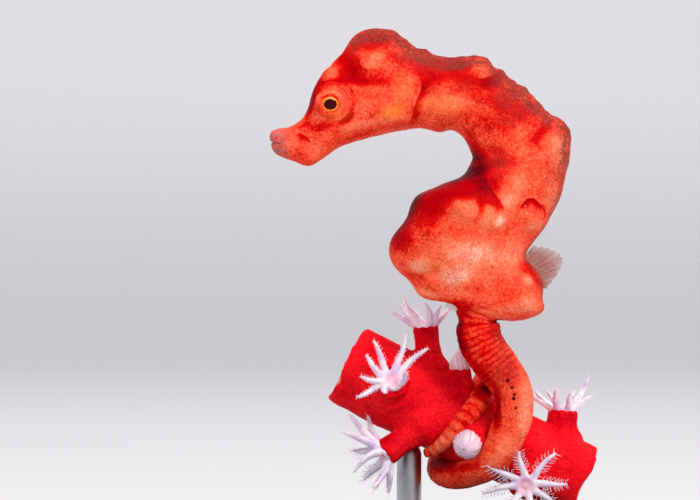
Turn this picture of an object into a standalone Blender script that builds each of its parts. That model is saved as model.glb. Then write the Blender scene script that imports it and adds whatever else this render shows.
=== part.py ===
"""A pygmy seahorse at life size, gripping a cut length of coral branch, on a plain display stand.

All sizes are in millimetres and are turned to metres by MM. +Z is up, +X runs from the snout to the
back, and +Y is the animal's right, away from the viewer who sees its left side. The origin is the
centre of the base's underside.

The body is one surface, swept from the mouth to the tail's tip through named rings, and parted with
thin cuts into head, neck, trunk and lengths of tail.
"""

import math

import bmesh
import bpy
import numpy as np
from mathutils import Matrix, Vector

MM = 0.001
CUT = 0.05  # gap between neighbouring pieces

# The rings of the head and trunk: where each meets the back and the belly on the mid-plane, as
# (x, z), its half width, and how much narrower it is at the back than at the belly.
RINGS = {
    "mouth": ((-4.76, 13.00), (-4.66, 12.46), 0.24, 0.0),
    "lips": ((-4.51, 13.11), (-4.37, 12.32), 0.34, 0.0),
    "snout": ((-4.14, 13.17), (-3.98, 12.18), 0.40, 0.0),
    "chin": ((-3.84, 13.35), (-3.63, 12.07), 0.44, 0.0),
    "snout_root": ((-3.62, 13.72), (-3.25, 12.27), 0.50, 0.0),
    "eye_front": ((-3.48, 14.20), (-2.74, 12.60), 0.62, 0.10),
    "brow": ((-3.14, 14.76), (-2.18, 12.80), 0.72, 0.18),
    "forehead": ((-2.66, 15.26), (-1.68, 12.94), 0.80, 0.25),
    "crown_front": ((-2.32, 15.74), (-1.29, 13.05), 0.84, 0.30),
    "crown": ((-1.62, 15.93), (-0.95, 13.11), 0.84, 0.30),
    "crown_back": ((-0.98, 15.66), (-0.70, 13.14), 0.82, 0.28),
    "nape": ((-0.56, 15.35), (-0.45, 13.14), 0.78, 0.20),
    "neck": ((0.25, 15.12), (0.00, 13.02), 0.78, 0.15),
    "shoulder": ((1.18, 15.12), (0.39, 13.08), 0.84, 0.12),
    "upper_back": ((1.88, 14.62), (0.62, 12.94), 0.88, 0.10),
    "back": ((2.58, 14.12), (0.81, 12.72), 0.95, 0.08),
    "withers": ((3.12, 13.50), (0.92, 12.46), 1.04, 0.08),
    "hump": ((3.60, 12.98), (0.95, 12.24), 1.12, 0.08),
    "chest": ((3.70, 12.44), (0.70, 11.82), 1.24, 0.10),
    "ribs": ((3.58, 11.82), (0.06, 11.54), 1.38, 0.12),
    "flank": ((3.44, 11.23), (-0.62, 11.20), 1.46, 0.15),
    "middle": ((3.15, 10.67), (-0.90, 10.59), 1.48, 0.15),
    "belly": ((2.76, 10.06), (-1.32, 10.00), 1.44, 0.12),
    "loin": ((2.46, 9.52), (-1.34, 9.55), 1.34, 0.05),
    "hip": ((2.80, 9.10), (-1.06, 9.13), 1.18, 0.0),
    "rump": ((2.99, 8.46), (-0.70, 8.74), 0.98, 0.0),
    "seat": ((2.88, 7.98), (-0.36, 8.40), 0.84, 0.0),
    "vent": ((2.36, 7.76), (0.06, 8.29), 0.72, 0.0),
    "tail_root": ((1.76, 7.70), (0.50, 8.20), 0.64, 0.0),
}
MOUTH_DOME = 0.14  # rounding of the lips and of the tail's tip, along the body
TIP_DOME = 0.12

# Soft swellings of the skin, the same on both sides: side-view centre (x, z), radius, height.
SWELLINGS = {
    "brow_spine": ((-3.02, 14.74), 0.20, 0.08),
    "eye_dome": ((-2.94, 13.89), 0.50, 0.16),
    "crown_side": ((-1.85, 14.98), 0.50, 0.12),
    "cheek": ((-1.30, 13.55), 0.75, 0.08),
    "snout_side": ((-3.92, 12.66), 0.35, 0.05),
    "neck_side": ((0.06, 13.86), 0.60, 0.08),
    "upper_back_knob": ((1.26, 14.70), 0.40, 0.14),
    "hump_knob": ((3.42, 13.08), 0.45, 0.14),
    "front_tubercle": ((0.76, 10.90), 0.42, 0.22),
    "middle_tubercle": ((1.38, 10.70), 0.46, 0.18),
    "rear_tubercle": ((2.60, 10.62), 0.40, 0.18),
    "belly_fold": ((-0.90, 9.40), 0.40, 0.08),
    "lower_belly": ((-0.20, 8.65), 0.40, 0.08),
    "hip_knob": ((2.70, 8.35), 0.45, 0.12),
}
SWELLING_REACH = 2.2  # radii past which a swelling has died away

# The branch: a straight axis through BRANCH_MIDDLE in the plane y = BRANCH_BEHIND, falling to the right.
BRANCH_MIDDLE = (0.90, 4.74)
BRANCH_BEHIND = 1.56
BRANCH_FALL = 27.0  # degrees below level
BRANCH_LEFT, BRANCH_RIGHT = -4.0, 3.7  # its cut ends, along the axis
BRANCH_RADII = ((-4.0, 1.14), (-2.6, 1.16), (-1.2, 1.12), (0.0, 1.08), (1.3, 1.06), (3.7, 1.10))

# The tail: free points (x, z) from its root to the grip, then turns round the branch, at the angle
# round the axis, which is 0 on its upper side, 90 at the front and 180 below.
TAIL_FREE = ((1.12, 7.58), (1.19, 7.18), (1.43, 6.76), (1.77, 6.32), (2.03, 5.93), (2.15, 5.52),
             (2.14, 5.14))
TAIL_FORWARD = 0.10  # how far the free tail comes forward of the mid-plane at its end
# (angle, place along the branch): the first crossing lies to the right, the last one slants to the left
GRIP = ((78, 1.00), (110, 0.98), (135, 0.62), (160, 0.22), (180, -0.06), (270, -0.14), (360, -0.14),
        (420, -0.12), (450, -0.28), (480, -0.45), (516, -0.74))
GRIP_STEP = 18.0
GRIP_CLEAR = 0.06
TAIL_RADII = ((0.0, 0.63), (0.9, 0.62), (1.9, 0.56), (2.7, 0.52), (3.6, 0.50), (4.5, 0.43), (5.5, 0.39),
              (12.0, 0.29), (13.3, 0.24), (14.7, 0.15))

# The lengths that the body is parted into: name, and where each begins, as a ring or as millimetres
# down the tail from its root.
LENGTHS = (
    ("snout", "mouth"),
    ("head", "snout_root"),
    ("neck", "nape"),
    ("chest", "upper_back"),
    ("trunk", "chest"),
    ("belly", "loin"),
    ("tail_1", "tail_root"),
    ("tail_2", 1.7),
    ("tail_3", 3.5),
    ("tail_4", 5.8),
    ("tail_5", 8.6),
    ("tail_6", 11.6),
)
RING_SPACING = 0.33
SIDES = 24

CORONET_CUT = ((-2.60, 15.25), (-0.80, 15.50))  # the line under the coronet, in side view
EYE_CENTRE = (-3.02, 13.82)
EYE_OUT = 0.52  # from the mid-plane
EYE_RADIUS = 0.34
EYE_GAP = 0.03

FIN_THICKNESS = 0.5
FIN_RAYS = 10
# Each fin's root (x, z), reach, and spread in degrees above level, from its lower to its upper edge.
DORSAL_FIN = ((2.55, 9.02), 1.12, (-42.0, 80.0))
ANAL_FIN = ((0.52, 8.22), 0.50, (190.0, 258.0))
PECTORAL_FIN = ((-0.36, 13.90), 0.66, (-50.0, 45.0))
PECTORAL_PROUD = 0.22  # how far it stands out of the neck's side

# Polyps on the branch: place along it, angle round it, the way the stalk points as (x, y, z), stalk
# radius, stalk length beyond the branch, crown or head radius.
OPEN_POLYPS = {
    "polyp_top_left": (-1.85, 5.0, (-0.10, -0.05, 1.0), 0.32, 0.92, 0.80),
    "polyp_front_left": (-2.70, 88.0, (0.0, -1.0, 0.35), 0.40, 0.35, 0.92),
    "polyp_under_left": (-1.35, 138.0, (-0.80, -0.25, -0.60), 0.36, 1.15, 0.85),
    "polyp_front_right": (2.10, 124.0, (0.0, -1.0, 0.0), 0.36, 0.80, 0.90),
    "polyp_top_right": (2.40, 0.0, (0.0, 0.05, 1.0), 0.34, 0.50, 0.85),
}
CLOSED_POLYPS = {
    "polyp_shut_above": (-0.92, 10.0, (0.0, 0.0, 1.0), 0.22, 0.36, 0.25),
    "polyp_shut_grip": (0.12, 100.0, (-0.05, -1.0, -0.12), 0.20, 0.70, 0.38),
}
TENTACLES = 8
CROWN_THICK = 0.50
POLYP_ROOT = 0.5  # how far a stalk starts inside the branch, before the branch is cut out of it

BASE_RADIUS, BASE_THICK, BASE_EDGE = 5.8, 1.5, 0.25
ROD_RADIUS = 0.35
ROD_PLACES = {"stand_rod_left": -1.9, "stand_rod_right": 2.9}  # along the branch

PAINTS = {
    "skin": ((0.80, 0.13, 0.045), 0.42),
    "eye": ((0.05, 0.01, 0.01), 0.08),
    "fin": ((0.75, 0.40, 0.28), 0.35),
    "coral": ((0.72, 0.02, 0.02), 0.55),
    "polyp": ((0.88, 0.76, 0.86), 0.5),
    "stand": ((0.03, 0.03, 0.035), 0.3),
    "rod": ((0.62, 0.62, 0.64), 0.25),
}


def through(knots, values, places):
    """Smooth values at these places, on a cubic through the knots."""
    knots, values = np.asarray(knots, float), np.asarray(values, float)
    slopes = np.gradient(values, knots, axis=0)
    i = np.clip(np.searchsorted(knots, places, side="right") - 1, 0, len(knots) - 2)
    span = knots[i + 1] - knots[i]
    t = np.clip((places - knots[i]) / span, 0, 1)
    shape = (-1,) + (1,) * (values.ndim - 1)
    t, span = t.reshape(shape), span.reshape(shape)
    return (
        values[i] * (1 + 2 * t) * (1 - t) ** 2
        + values[i + 1] * t * t * (3 - 2 * t)
        + slopes[i] * span * t * (1 - t) ** 2
        - slopes[i + 1] * span * t * t * (1 - t)
    )


def branch_frame():
    """The branch's middle, its axis, the direction of its upper side, and the direction to the front."""
    fall = math.radians(BRANCH_FALL)
    middle = np.array([BRANCH_MIDDLE[0], BRANCH_BEHIND, BRANCH_MIDDLE[1]])
    axis = np.array([math.cos(fall), 0.0, -math.sin(fall)])
    upper = np.array([math.sin(fall), 0.0, math.cos(fall)])
    return middle, axis, upper, np.array([0.0, -1.0, 0.0])


def branch_radius(along):
    places, radii = zip(*BRANCH_RADII)
    return float(through(places, radii, np.array([along]))[0])


def round_branch(along, angle, out):
    """The point at this place along the branch, angle round it and distance from its axis."""
    middle, axis, upper, front = branch_frame()
    turn = math.radians(angle)
    return middle + axis * along + (upper * math.cos(turn) + front * math.sin(turn)) * out


def tail_radius(down):
    places, radii = zip(*TAIL_RADII)
    return float(through(places, radii, np.array([down]))[0])


def tail_path():
    """Points down the middle of the tail."""
    last = len(TAIL_FREE) - 1
    path = [np.array([x, -TAIL_FORWARD * n / last, z]) for n, (x, z) in enumerate(TAIL_FREE)]
    down = sum(np.linalg.norm(b - a) for a, b in zip(path, path[1:]))
    angles, shifts = zip(*GRIP)
    turns = np.linspace(angles[0], angles[-1], round((angles[-1] - angles[0]) / GRIP_STEP) + 1)
    for angle, along in zip(turns, through(angles, shifts, turns)):
        point = round_branch(along, angle, branch_radius(along) + tail_radius(down) + GRIP_CLEAR)
        down += np.linalg.norm(point - path[-1])
        path.append(point)
    return path


def stations():
    """The body's rings as rows of (centre, half depth, half width, narrowing), the places of the rings
    along the body, and the place of each named ring."""
    rows = []
    for (dx, dz), (vx, vz), width, narrow in RINGS.values():
        back, belly = np.array([dx, 0, dz]), np.array([vx, 0, vz])
        rows.append([*(back + belly) / 2, *(back - belly) / 2, 0, width, 0, narrow])
    path = tail_path()
    up = np.array(rows[-1][3:6])
    down = 0.0
    for n, point in enumerate(path):
        ahead = path[min(n + 1, len(path) - 1)] - path[max(n - 1, 0)]
        ahead = ahead / np.linalg.norm(ahead)
        down += np.linalg.norm(point - path[n - 1]) if n else 0.0
        up = up - ahead * (up @ ahead)  # carried down the tail without twist
        up = up / np.linalg.norm(up) * tail_radius(down)
        rows.append([*point, *up, *np.cross(up, ahead), 0.0])
    rows = np.array(rows)
    steps = np.linalg.norm(np.diff(rows[:, :3], axis=0), axis=1)
    places = np.concatenate([[0.0], np.cumsum(steps)])
    return rows, places, dict(zip(RINGS, places))


def rings_at(body, at):
    """Centres, half depths, half widths and narrowings of the rings at these places along the body."""
    rows, places, _ = body
    found = through(places, rows, at)
    ends = np.minimum((at - places[0]) / MOUTH_DOME, (places[-1] - at) / TIP_DOME)
    dome = np.sqrt(1 - (1 - np.clip(ends, 0.06, 1)) ** 2)[:, None]
    return found[:, :3], found[:, 3:6] * dome, found[:, 6:9] * dome, found[:, 9]


def surface(body, at, sides):
    """Points of the body's skin: one row of them for each place, and one column for each side."""
    centre, deep, wide, narrow = rings_at(body, at)
    turn = np.linspace(0, 2 * math.pi, sides, endpoint=False)
    over, across = np.cos(turn)[None, :, None], np.sin(turn)[None, :, None]
    pinch = 1 - narrow[:, None, None] * over
    points = centre[:, None] + deep[:, None] * over + wide[:, None] * across * pinch
    along = np.gradient(points, axis=0)
    round_it = np.roll(points, -1, axis=1) - np.roll(points, 1, axis=1)
    out = np.cross(along, round_it)
    out /= np.linalg.norm(out, axis=2, keepdims=True) + 1e-12
    out *= np.sign(np.sum(out * (points - centre[:, None]), axis=2, keepdims=True) + 1e-9)
    lift = np.zeros(points.shape[:2])
    trunk = (at < body[2]["tail_root"])[:, None]
    for (x, z), radius, height in SWELLINGS.values():
        apart = np.hypot(points[:, :, 0] - x, points[:, :, 2] - z) / radius
        lift += np.where(trunk & (apart < SWELLING_REACH), height * np.exp(-1.4 * apart**2), 0.0)
    return points + out * lift[:, :, None]


def object_of(name, bm, paint, smooth=True):
    """A named object in metres, with its colour."""
    bmesh.ops.recalc_face_normals(bm, faces=bm.faces)
    bmesh.ops.scale(bm, vec=(MM, MM, MM), verts=bm.verts)
    mesh = bpy.data.meshes.new(name)
    bm.to_mesh(mesh)
    bm.free()
    made = bpy.data.objects.new(name, mesh)
    bpy.context.scene.collection.objects.link(made)
    mesh.materials.append(bpy.data.materials[paint])
    if smooth:
        mesh.shade_smooth()
        mesh.set_sharp_from_angle(angle=math.radians(40))
    return made


def tube(points):
    """A closed bmesh through rows of points: a grid rolled up, its seam joined and its ends filled."""
    rows, sides, _ = points.shape
    bm = bmesh.new()
    bmesh.ops.create_grid(bm, x_segments=sides, y_segments=rows - 1, size=1)
    bm.verts.ensure_lookup_table()
    for row in range(rows):
        for side in range(sides + 1):
            bm.verts[row * (sides + 1) + side].co = points[row, side % sides]
    bmesh.ops.remove_doubles(bm, verts=bm.verts, dist=1e-5)
    bmesh.ops.holes_fill(bm, edges=[e for e in bm.edges if e.is_boundary], sides=sides)
    bmesh.ops.triangulate(bm, faces=[f for f in bm.faces if len(f.verts) > 4])
    return bm


def length_of_body(body, start, end):
    """The closed piece of the body between two places."""
    count = max(3, round((end - start) / RING_SPACING) + 1)
    at = np.linspace(start, end, count)
    rows, places, _ = body
    for place, dome, towards in ((places[0], MOUTH_DOME, 1), (places[-1], TIP_DOME, -1)):
        if min(abs(start - place), abs(end - place)) < 1e-6:
            at = np.union1d(at, place + towards * dome * np.array([0.15, 0.5]))
    # One row past each end keeps the slopes at the cuts those of the whole body.
    wide = np.concatenate([[at[0] - RING_SPACING], at, [at[-1] + RING_SPACING]])
    return tube(surface(body, np.clip(wide, places[0], places[-1]), SIDES)[1:-1])


def build_body(body):
    places = body[1]
    starts = [place_of(body, at) for _, at in LENGTHS]
    made = {}
    for n, (name, _) in enumerate(LENGTHS):
        first, last = n == 0, n == len(LENGTHS) - 1
        start = starts[n] + (0 if first else CUT / 2)
        end = places[-1] if last else starts[n + 1] - CUT / 2
        made[name] = object_of(name, length_of_body(body, start, end), "skin")
    return made


def cutter(name, bm):
    """A helper that shapes other pieces and isn't one itself."""
    made = object_of(name, bm, "skin", smooth=False)
    made.hide_render = True
    made.display_type = "WIRE"
    return made


def cut(target, tool, operation="DIFFERENCE"):
    modifier = target.modifiers.new(f"{operation.lower()}_{tool.name}", "BOOLEAN")
    modifier.operation = operation
    modifier.object = tool
    modifier.solver = "EXACT"


def sliced(mesh, through_point, away):
    """A closed bmesh of what lies behind a plane, cut from a mesh."""
    bm = bmesh.new()
    bm.from_mesh(mesh)
    everything = [*bm.verts, *bm.edges, *bm.faces]
    bmesh.ops.bisect_plane(
        bm, geom=everything, dist=1e-8, plane_co=through_point, plane_no=away, clear_outer=True
    )
    bmesh.ops.holes_fill(bm, edges=[e for e in bm.edges if e.is_boundary], sides=0)
    bmesh.ops.triangulate(bm, faces=[f for f in bm.faces if len(f.verts) > 4])
    bmesh.ops.recalc_face_normals(bm, faces=bm.faces)
    return bm


def build_coronet(head):
    """The knob on top of the head, parted from it by a thin slanting cut."""
    (x0, z0), (x1, z1) = CORONET_CUT
    line = Vector((x1 - x0, 0, z1 - z0)).normalized()
    up = Vector((-line.z, 0, line.x))
    middle = Vector((x0, 0, z0))
    coronet = sliced(head.data, (middle + up * CUT / 2) * MM, -up)
    lower = sliced(head.data, (middle - up * CUT / 2) * MM, up)
    lower.to_mesh(head.data)
    lower.free()
    bmesh.ops.scale(coronet, vec=(1 / MM,) * 3, verts=coronet.verts)
    object_of("coronet", coronet, "skin")


def ball(radius, centre, segments=16):
    bm = bmesh.new()
    bmesh.ops.create_uvsphere(
        bm, u_segments=segments, v_segments=segments // 2 + 2, radius=radius,
        matrix=Matrix.Translation(centre) @ Matrix.Rotation(math.pi / 2, 4, "X"),
    )
    return bm


def build_eyes(head):
    for side, out in (("left", -EYE_OUT), ("right", EYE_OUT)):
        centre = Vector((EYE_CENTRE[0], out, EYE_CENTRE[1]))
        object_of(f"eye_{side}", ball(EYE_RADIUS, centre), "eye")
        cut(head, cutter(f"socket_{side}", ball(EYE_RADIUS + EYE_GAP, centre)))


def fan(root, reach, spread, thickness):
    """A flat fin in the XZ plane: a fan from its root, longest past the middle, its edge scalloped."""
    bm = bmesh.new()
    low, high = (math.radians(a) for a in spread)
    rim = []
    for n in range(2 * FIN_RAYS + 1):
        part = n / (2 * FIN_RAYS)
        turn = low + (high - low) * part
        out = reach * (0.5 + 0.5 * math.sin(math.pi * part**1.4) ** 2) * (1.0 if n % 2 else 0.95)
        rim.append(bm.verts.new((math.cos(turn) * out, 0, math.sin(turn) * out)))
    for turn in (high, low):
        rim.append(bm.verts.new((math.cos(turn) * reach * 0.16, 0, math.sin(turn) * reach * 0.16)))
    face = bm.faces.new(rim)
    pushed = bmesh.ops.extrude_face_region(bm, geom=[face])
    top = [v for v in pushed["geom"] if isinstance(v, bmesh.types.BMVert)]
    bmesh.ops.translate(bm, verts=top, vec=(0, thickness, 0))
    bmesh.ops.translate(bm, verts=bm.verts, vec=(root[0], -thickness / 2, root[1]))
    return bm


def build_fins(body, pieces):
    around = {name: swollen(body, name) for name in ("trunk", "belly", "tail_1")}
    dorsal = object_of("dorsal_fin", fan(*DORSAL_FIN, FIN_THICKNESS), "fin")
    anal = object_of("anal_fin", fan(*ANAL_FIN, FIN_THICKNESS), "fin")
    for fin, names in ((dorsal, ("trunk", "belly")), (anal, ("belly", "tail_1"))):
        for name in names:
            cut(fin, around[name])
    root, reach, spread = PECTORAL_FIN
    for side, sign in (("left", -1), ("right", 1)):
        flat = fan(root, reach, spread, FIN_THICKNESS)
        slot = fan((root[0] - CUT, root[1]), reach + 3 * CUT, spread, FIN_THICKNESS + 2 * CUT)
        out = sign * (RINGS["neck"][2] + PECTORAL_PROUD - FIN_THICKNESS / 2)
        for bm in (flat, slot):
            bmesh.ops.translate(bm, verts=bm.verts, vec=(0, out, 0))
        object_of(f"pectoral_fin_{side}", flat, "fin")
        cut(pieces["neck"], cutter(f"pectoral_slot_{side}", slot))


def place_of(body, at):
    """The place along the body of a named ring, or of millimetres down the tail."""
    return body[2][at] if isinstance(at, str) else body[2]["tail_root"] + at


def swollen(body, name):
    """A helper that cuts this length's neighbours: the length, fatter by a cut's width all over."""
    order = [length for length, _ in LENGTHS]
    n = order.index(name)
    start, end = (place_of(body, LENGTHS[m][1]) for m in (n, n + 1))
    points = surface(body, np.linspace(start - CUT, end + CUT, 14), SIDES)
    away = points - points.mean(axis=1, keepdims=True)
    points += away / np.linalg.norm(away, axis=2, keepdims=True) * CUT
    return cutter(f"{name}_swollen", tube(points))


def branch_shape(grown):
    """The branch, fatter and longer by this much."""
    middle, axis, upper, front = branch_frame()
    turn = np.linspace(0, 2 * math.pi, SIDES, endpoint=False)
    round_it = upper * np.cos(turn)[:, None] + front * np.sin(turn)[:, None]
    along = np.linspace(BRANCH_LEFT - grown, BRANCH_RIGHT + grown, 18)
    return tube(np.array([middle + axis * at + round_it * (branch_radius(at) + grown) for at in along]))


def turned(profile, lobes):
    """A solid turned about Z from (radius, height) pairs, rippled by each pair's lobe height."""
    turn = np.linspace(0, 2 * math.pi, 2 * TENTACLES, endpoint=False)
    rows = []
    for (radius, height), lobe in zip(profile, lobes):
        out = radius * (1 + lobe * np.cos(TENTACLES * turn))
        rows.append(np.stack([out * np.cos(turn), out * np.sin(turn), np.full(len(turn), height)], axis=1))
    return tube(np.array(rows))


def plant(bm, along, angle, points):
    """Stands a turned shape on the branch, its Z pointing this way."""
    foot = Matrix.Translation(round_branch(along, angle, branch_radius(along)))
    turn = Vector(points).to_track_quat("Z", "Y").to_matrix().to_4x4()
    bmesh.ops.transform(bm, verts=bm.verts, matrix=foot @ turn)
    return bm


def build_perch():
    """The cut branch and its polyps: a stalk with an open crown of eight tentacles, or a shut knob."""
    object_of("perch_branch", branch_shape(0.0), "coral")
    branch = cutter("branch_grown", branch_shape(CUT))
    for name, (along, angle, points, stalk, length, crown) in OPEN_POLYPS.items():
        profile = (
            (stalk * 1.1, -POLYP_ROOT),
            (stalk, length),
            (crown * 0.66, length + CROWN_THICK * 0.45),
            (crown, length + CROWN_THICK),
            (crown * 0.45, length + CROWN_THICK * 0.75),
        )
        shape = turned(profile, (0.0, 0.0, 0.20, 0.32, 0.10))
        cut(object_of(name, plant(shape, along, angle, points), "polyp"), branch)
    for name, (along, angle, points, stalk, length, head) in CLOSED_POLYPS.items():
        profile = (
            (stalk, -POLYP_ROOT),
            (stalk, length * 0.8),
            (head * 0.92, length),
            (head, length + head * 0.5),
            (head * 0.75, length + head),
            (head * 0.2, length + head * 1.25),
        )
        shape = turned(profile, (0.0,) * len(profile))
        cut(object_of(name, plant(shape, along, angle, points), "polyp"), branch)


def build_stand():
    base = bmesh.new()
    bmesh.ops.create_cone(
        base, cap_ends=True, segments=56, radius1=BASE_RADIUS, radius2=BASE_RADIUS, depth=BASE_THICK,
        matrix=Matrix.Translation((0, 0, BASE_THICK / 2)),
    )
    rim = [e for e in base.edges if all(v.co.z > BASE_THICK / 2 for v in e.verts)]
    bmesh.ops.bevel(base, geom=rim, offset=BASE_EDGE, segments=2, profile=0.5, affect="EDGES")
    object_of("stand_base", base, "stand")
    middle, axis, _, _ = branch_frame()
    for name, along in ROD_PLACES.items():
        foot = middle + axis * along
        under = foot[2] - branch_radius(along) / math.cos(math.radians(BRANCH_FALL)) - CUT * 6
        rod = bmesh.new()
        low = BASE_THICK + CUT
        bmesh.ops.create_cone(
            rod, cap_ends=True, segments=20, radius1=ROD_RADIUS, radius2=ROD_RADIUS, depth=under - low,
            matrix=Matrix.Translation((foot[0], foot[1], (under + low) / 2)),
        )
        object_of(name, rod, "rod")


def paints():
    for name, (colour, roughness) in PAINTS.items():
        material = bpy.data.materials.new(name)
        material.use_nodes = True
        shader = material.node_tree.nodes["Principled BSDF"]
        shader.inputs["Base Color"].default_value = (*colour, 1)
        shader.inputs["Roughness"].default_value = roughness
        shader.inputs["Metallic"].default_value = 1.0 if name == "rod" else 0.0


def main():
    for old in list(bpy.data.objects):
        bpy.data.objects.remove(old)
    paints()
    body = stations()
    pieces = build_body(body)
    build_coronet(pieces["head"])
    build_eyes(pieces["head"])
    build_fins(body, pieces)
    build_perch()
    build_stand()


main()
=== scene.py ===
"""Dresses the pygmy seahorse model: its skin, eyes and fins, the coral perch with its polyps, and the stand.

Sizes are in millimetres until a mesh is settled, which turns them into metres. +Z is up, +X runs from
the snout to the back, +Y is the animal's right, and the origin is the centre of the base's underside.
"""

import logging
import math
from collections.abc import Iterable
from dataclasses import dataclass, field
from enum import Enum

import bmesh
import bpy
import numpy as np
from mathutils import Matrix, Vector, noise


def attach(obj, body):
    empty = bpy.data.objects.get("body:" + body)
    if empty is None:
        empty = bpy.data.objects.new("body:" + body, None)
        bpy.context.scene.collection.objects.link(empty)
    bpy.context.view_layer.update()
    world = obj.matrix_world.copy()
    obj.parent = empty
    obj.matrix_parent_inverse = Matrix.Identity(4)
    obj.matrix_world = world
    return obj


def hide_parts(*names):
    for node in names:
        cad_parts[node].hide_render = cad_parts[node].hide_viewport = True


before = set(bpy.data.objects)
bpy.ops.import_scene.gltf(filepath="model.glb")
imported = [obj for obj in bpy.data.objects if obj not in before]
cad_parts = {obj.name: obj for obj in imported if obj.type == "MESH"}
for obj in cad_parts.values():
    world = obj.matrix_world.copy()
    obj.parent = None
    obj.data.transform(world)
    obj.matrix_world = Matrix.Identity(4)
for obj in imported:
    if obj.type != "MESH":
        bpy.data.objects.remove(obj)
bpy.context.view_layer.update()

MM = 0.001
Flat = tuple[float, float]
Solid = tuple[float, float, float]
Colour = tuple[float, float, float, float]
Array = np.ndarray
Numbers = Array | tuple[float, ...]
Shape = bmesh.types.BMesh
Piece = bpy.types.Object
Material = bpy.types.Material

log = logging.getLogger("seahorse")

# ---------------- the shapes shared with the part's source

# Each ring: where it meets the back and the belly on the mid-plane, its half width, how much narrower it
# is at the back.
RINGS = {
    "mouth": ((-4.76, 13.0), (-4.66, 12.46), 0.24, 0.0),
    "lips": ((-4.51, 13.11), (-4.37, 12.32), 0.34, 0.0),
    "snout": ((-4.14, 13.17), (-3.98, 12.18), 0.4, 0.0),
    "chin": ((-3.84, 13.35), (-3.63, 12.07), 0.44, 0.0),
    "snout_root": ((-3.62, 13.72), (-3.25, 12.27), 0.5, 0.0),
    "eye_front": ((-3.48, 14.2), (-2.74, 12.6), 0.62, 0.1),
    "brow": ((-3.14, 14.76), (-2.18, 12.8), 0.72, 0.18),
    "forehead": ((-2.66, 15.26), (-1.68, 12.94), 0.8, 0.25),
    "crown_front": ((-2.32, 15.74), (-1.29, 13.05), 0.84, 0.3),
    "crown": ((-1.62, 15.93), (-0.95, 13.11), 0.84, 0.3),
    "crown_back": ((-0.98, 15.66), (-0.7, 13.14), 0.82, 0.28),
    "nape": ((-0.56, 15.35), (-0.45, 13.14), 0.78, 0.2),
    "neck": ((0.25, 15.12), (0.0, 13.02), 0.78, 0.15),
    "shoulder": ((1.18, 15.12), (0.39, 13.08), 0.84, 0.12),
    "upper_back": ((1.88, 14.62), (0.62, 12.94), 0.88, 0.1),
    "back": ((2.58, 14.12), (0.81, 12.72), 0.95, 0.08),
    "withers": ((3.12, 13.5), (0.92, 12.46), 1.04, 0.08),
    "hump": ((3.6, 12.98), (0.95, 12.24), 1.12, 0.08),
    "chest": ((3.7, 12.44), (0.7, 11.82), 1.24, 0.1),
    "ribs": ((3.58, 11.82), (0.06, 11.54), 1.38, 0.12),
    "flank": ((3.44, 11.23), (-0.62, 11.2), 1.46, 0.15),
    "middle": ((3.15, 10.67), (-0.9, 10.59), 1.48, 0.15),
    "belly": ((2.76, 10.06), (-1.32, 10.0), 1.44, 0.12),
    "loin": ((2.46, 9.52), (-1.34, 9.55), 1.34, 0.05),
    "hip": ((2.8, 9.1), (-1.06, 9.13), 1.18, 0.0),
    "rump": ((2.99, 8.46), (-0.7, 8.74), 0.98, 0.0),
    "seat": ((2.88, 7.98), (-0.36, 8.4), 0.84, 0.0),
    "vent": ((2.36, 7.76), (0.06, 8.29), 0.72, 0.0),
    "tail_root": ((1.76, 7.7), (0.5, 8.2), 0.64, 0.0),
}

# Soft swellings on both sides: side-view centre, radius, height.
SWELLINGS = {
    "brow_spine": ((-3.02, 14.74), 0.2, 0.08),
    "eye_dome": ((-2.94, 13.89), 0.5, 0.16),
    "crown_side": ((-1.85, 14.98), 0.5, 0.12),
    "cheek": ((-1.3, 13.55), 0.75, 0.08),
    "snout_side": ((-3.92, 12.66), 0.35, 0.05),
    "neck_side": ((0.06, 13.86), 0.6, 0.08),
    "upper_back_knob": ((1.26, 14.7), 0.4, 0.14),
    "hump_knob": ((3.42, 13.08), 0.45, 0.14),
    "front_tubercle": ((0.76, 10.9), 0.42, 0.22),
    "middle_tubercle": ((1.38, 10.7), 0.46, 0.18),
    "rear_tubercle": ((2.6, 10.62), 0.4, 0.18),
    "belly_fold": ((-0.9, 9.4), 0.4, 0.08),
    "lower_belly": ((-0.2, 8.65), 0.4, 0.08),
    "hip_knob": ((2.7, 8.35), 0.45, 0.12),
}

# Low mounds of drawn-in polyps on the branch: place along it, angle round it, radius, height.
MOUNDS = (
    (-3.15, 292, 0.3, 0.13), (-3.35, 212, 0.26, 0.1), (-2.35, 246, 0.28, 0.12), (-1.3, 298, 0.28, 0.12),
    (-1.05, 222, 0.24, 0.09), (0.86, 236, 0.27, 0.1), (1.02, 312, 0.25, 0.09), (1.86, 278, 0.32, 0.14),
    (2.6, 216, 0.25, 0.1), (3.2, 300, 0.27, 0.11), (2.96, 30, 0.22, 0.07),
)
LOBES = 8  # a polyp's tentacles, and the lobes of its stalk and of its mound
BRANCH_RADII = ((-4.0, 1.14), (-2.6, 1.16), (-1.2, 1.12), (0.0, 1.08), (1.3, 1.06), (3.7, 1.1))
TAIL_FREE = (
    (1.12, 7.58), (1.19, 7.18), (1.43, 6.76), (1.77, 6.32), (2.03, 5.93), (2.15, 5.52), (2.14, 5.14),
)
GRIP = (
    (78, 1.0), (110, 0.98), (135, 0.62), (160, 0.22), (180, -0.06), (270, -0.14), (360, -0.14),
    (420, -0.12), (450, -0.28), (480, -0.45), (516, -0.74),
)
TAIL_RADII = (
    (0.0, 0.63), (0.9, 0.62), (1.9, 0.56), (2.7, 0.52), (3.6, 0.5), (4.5, 0.43), (5.5, 0.39),
    (12.0, 0.315), (13.3, 0.265), (14.7, 0.165),
)

# ---------------- folds, colours, painted shade and painted highlights of the skin


class Stretch(Enum):
    """The stretches of the body that a mark can lie on, as places along it in millimetres."""

    HEAD = (-1.0, 8.6)
    TRUNK = (7.2, 14.1)
    NEAR_TAIL = (12.8, 21.0)
    TAIL_END = (24.5, 40.0)


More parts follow.
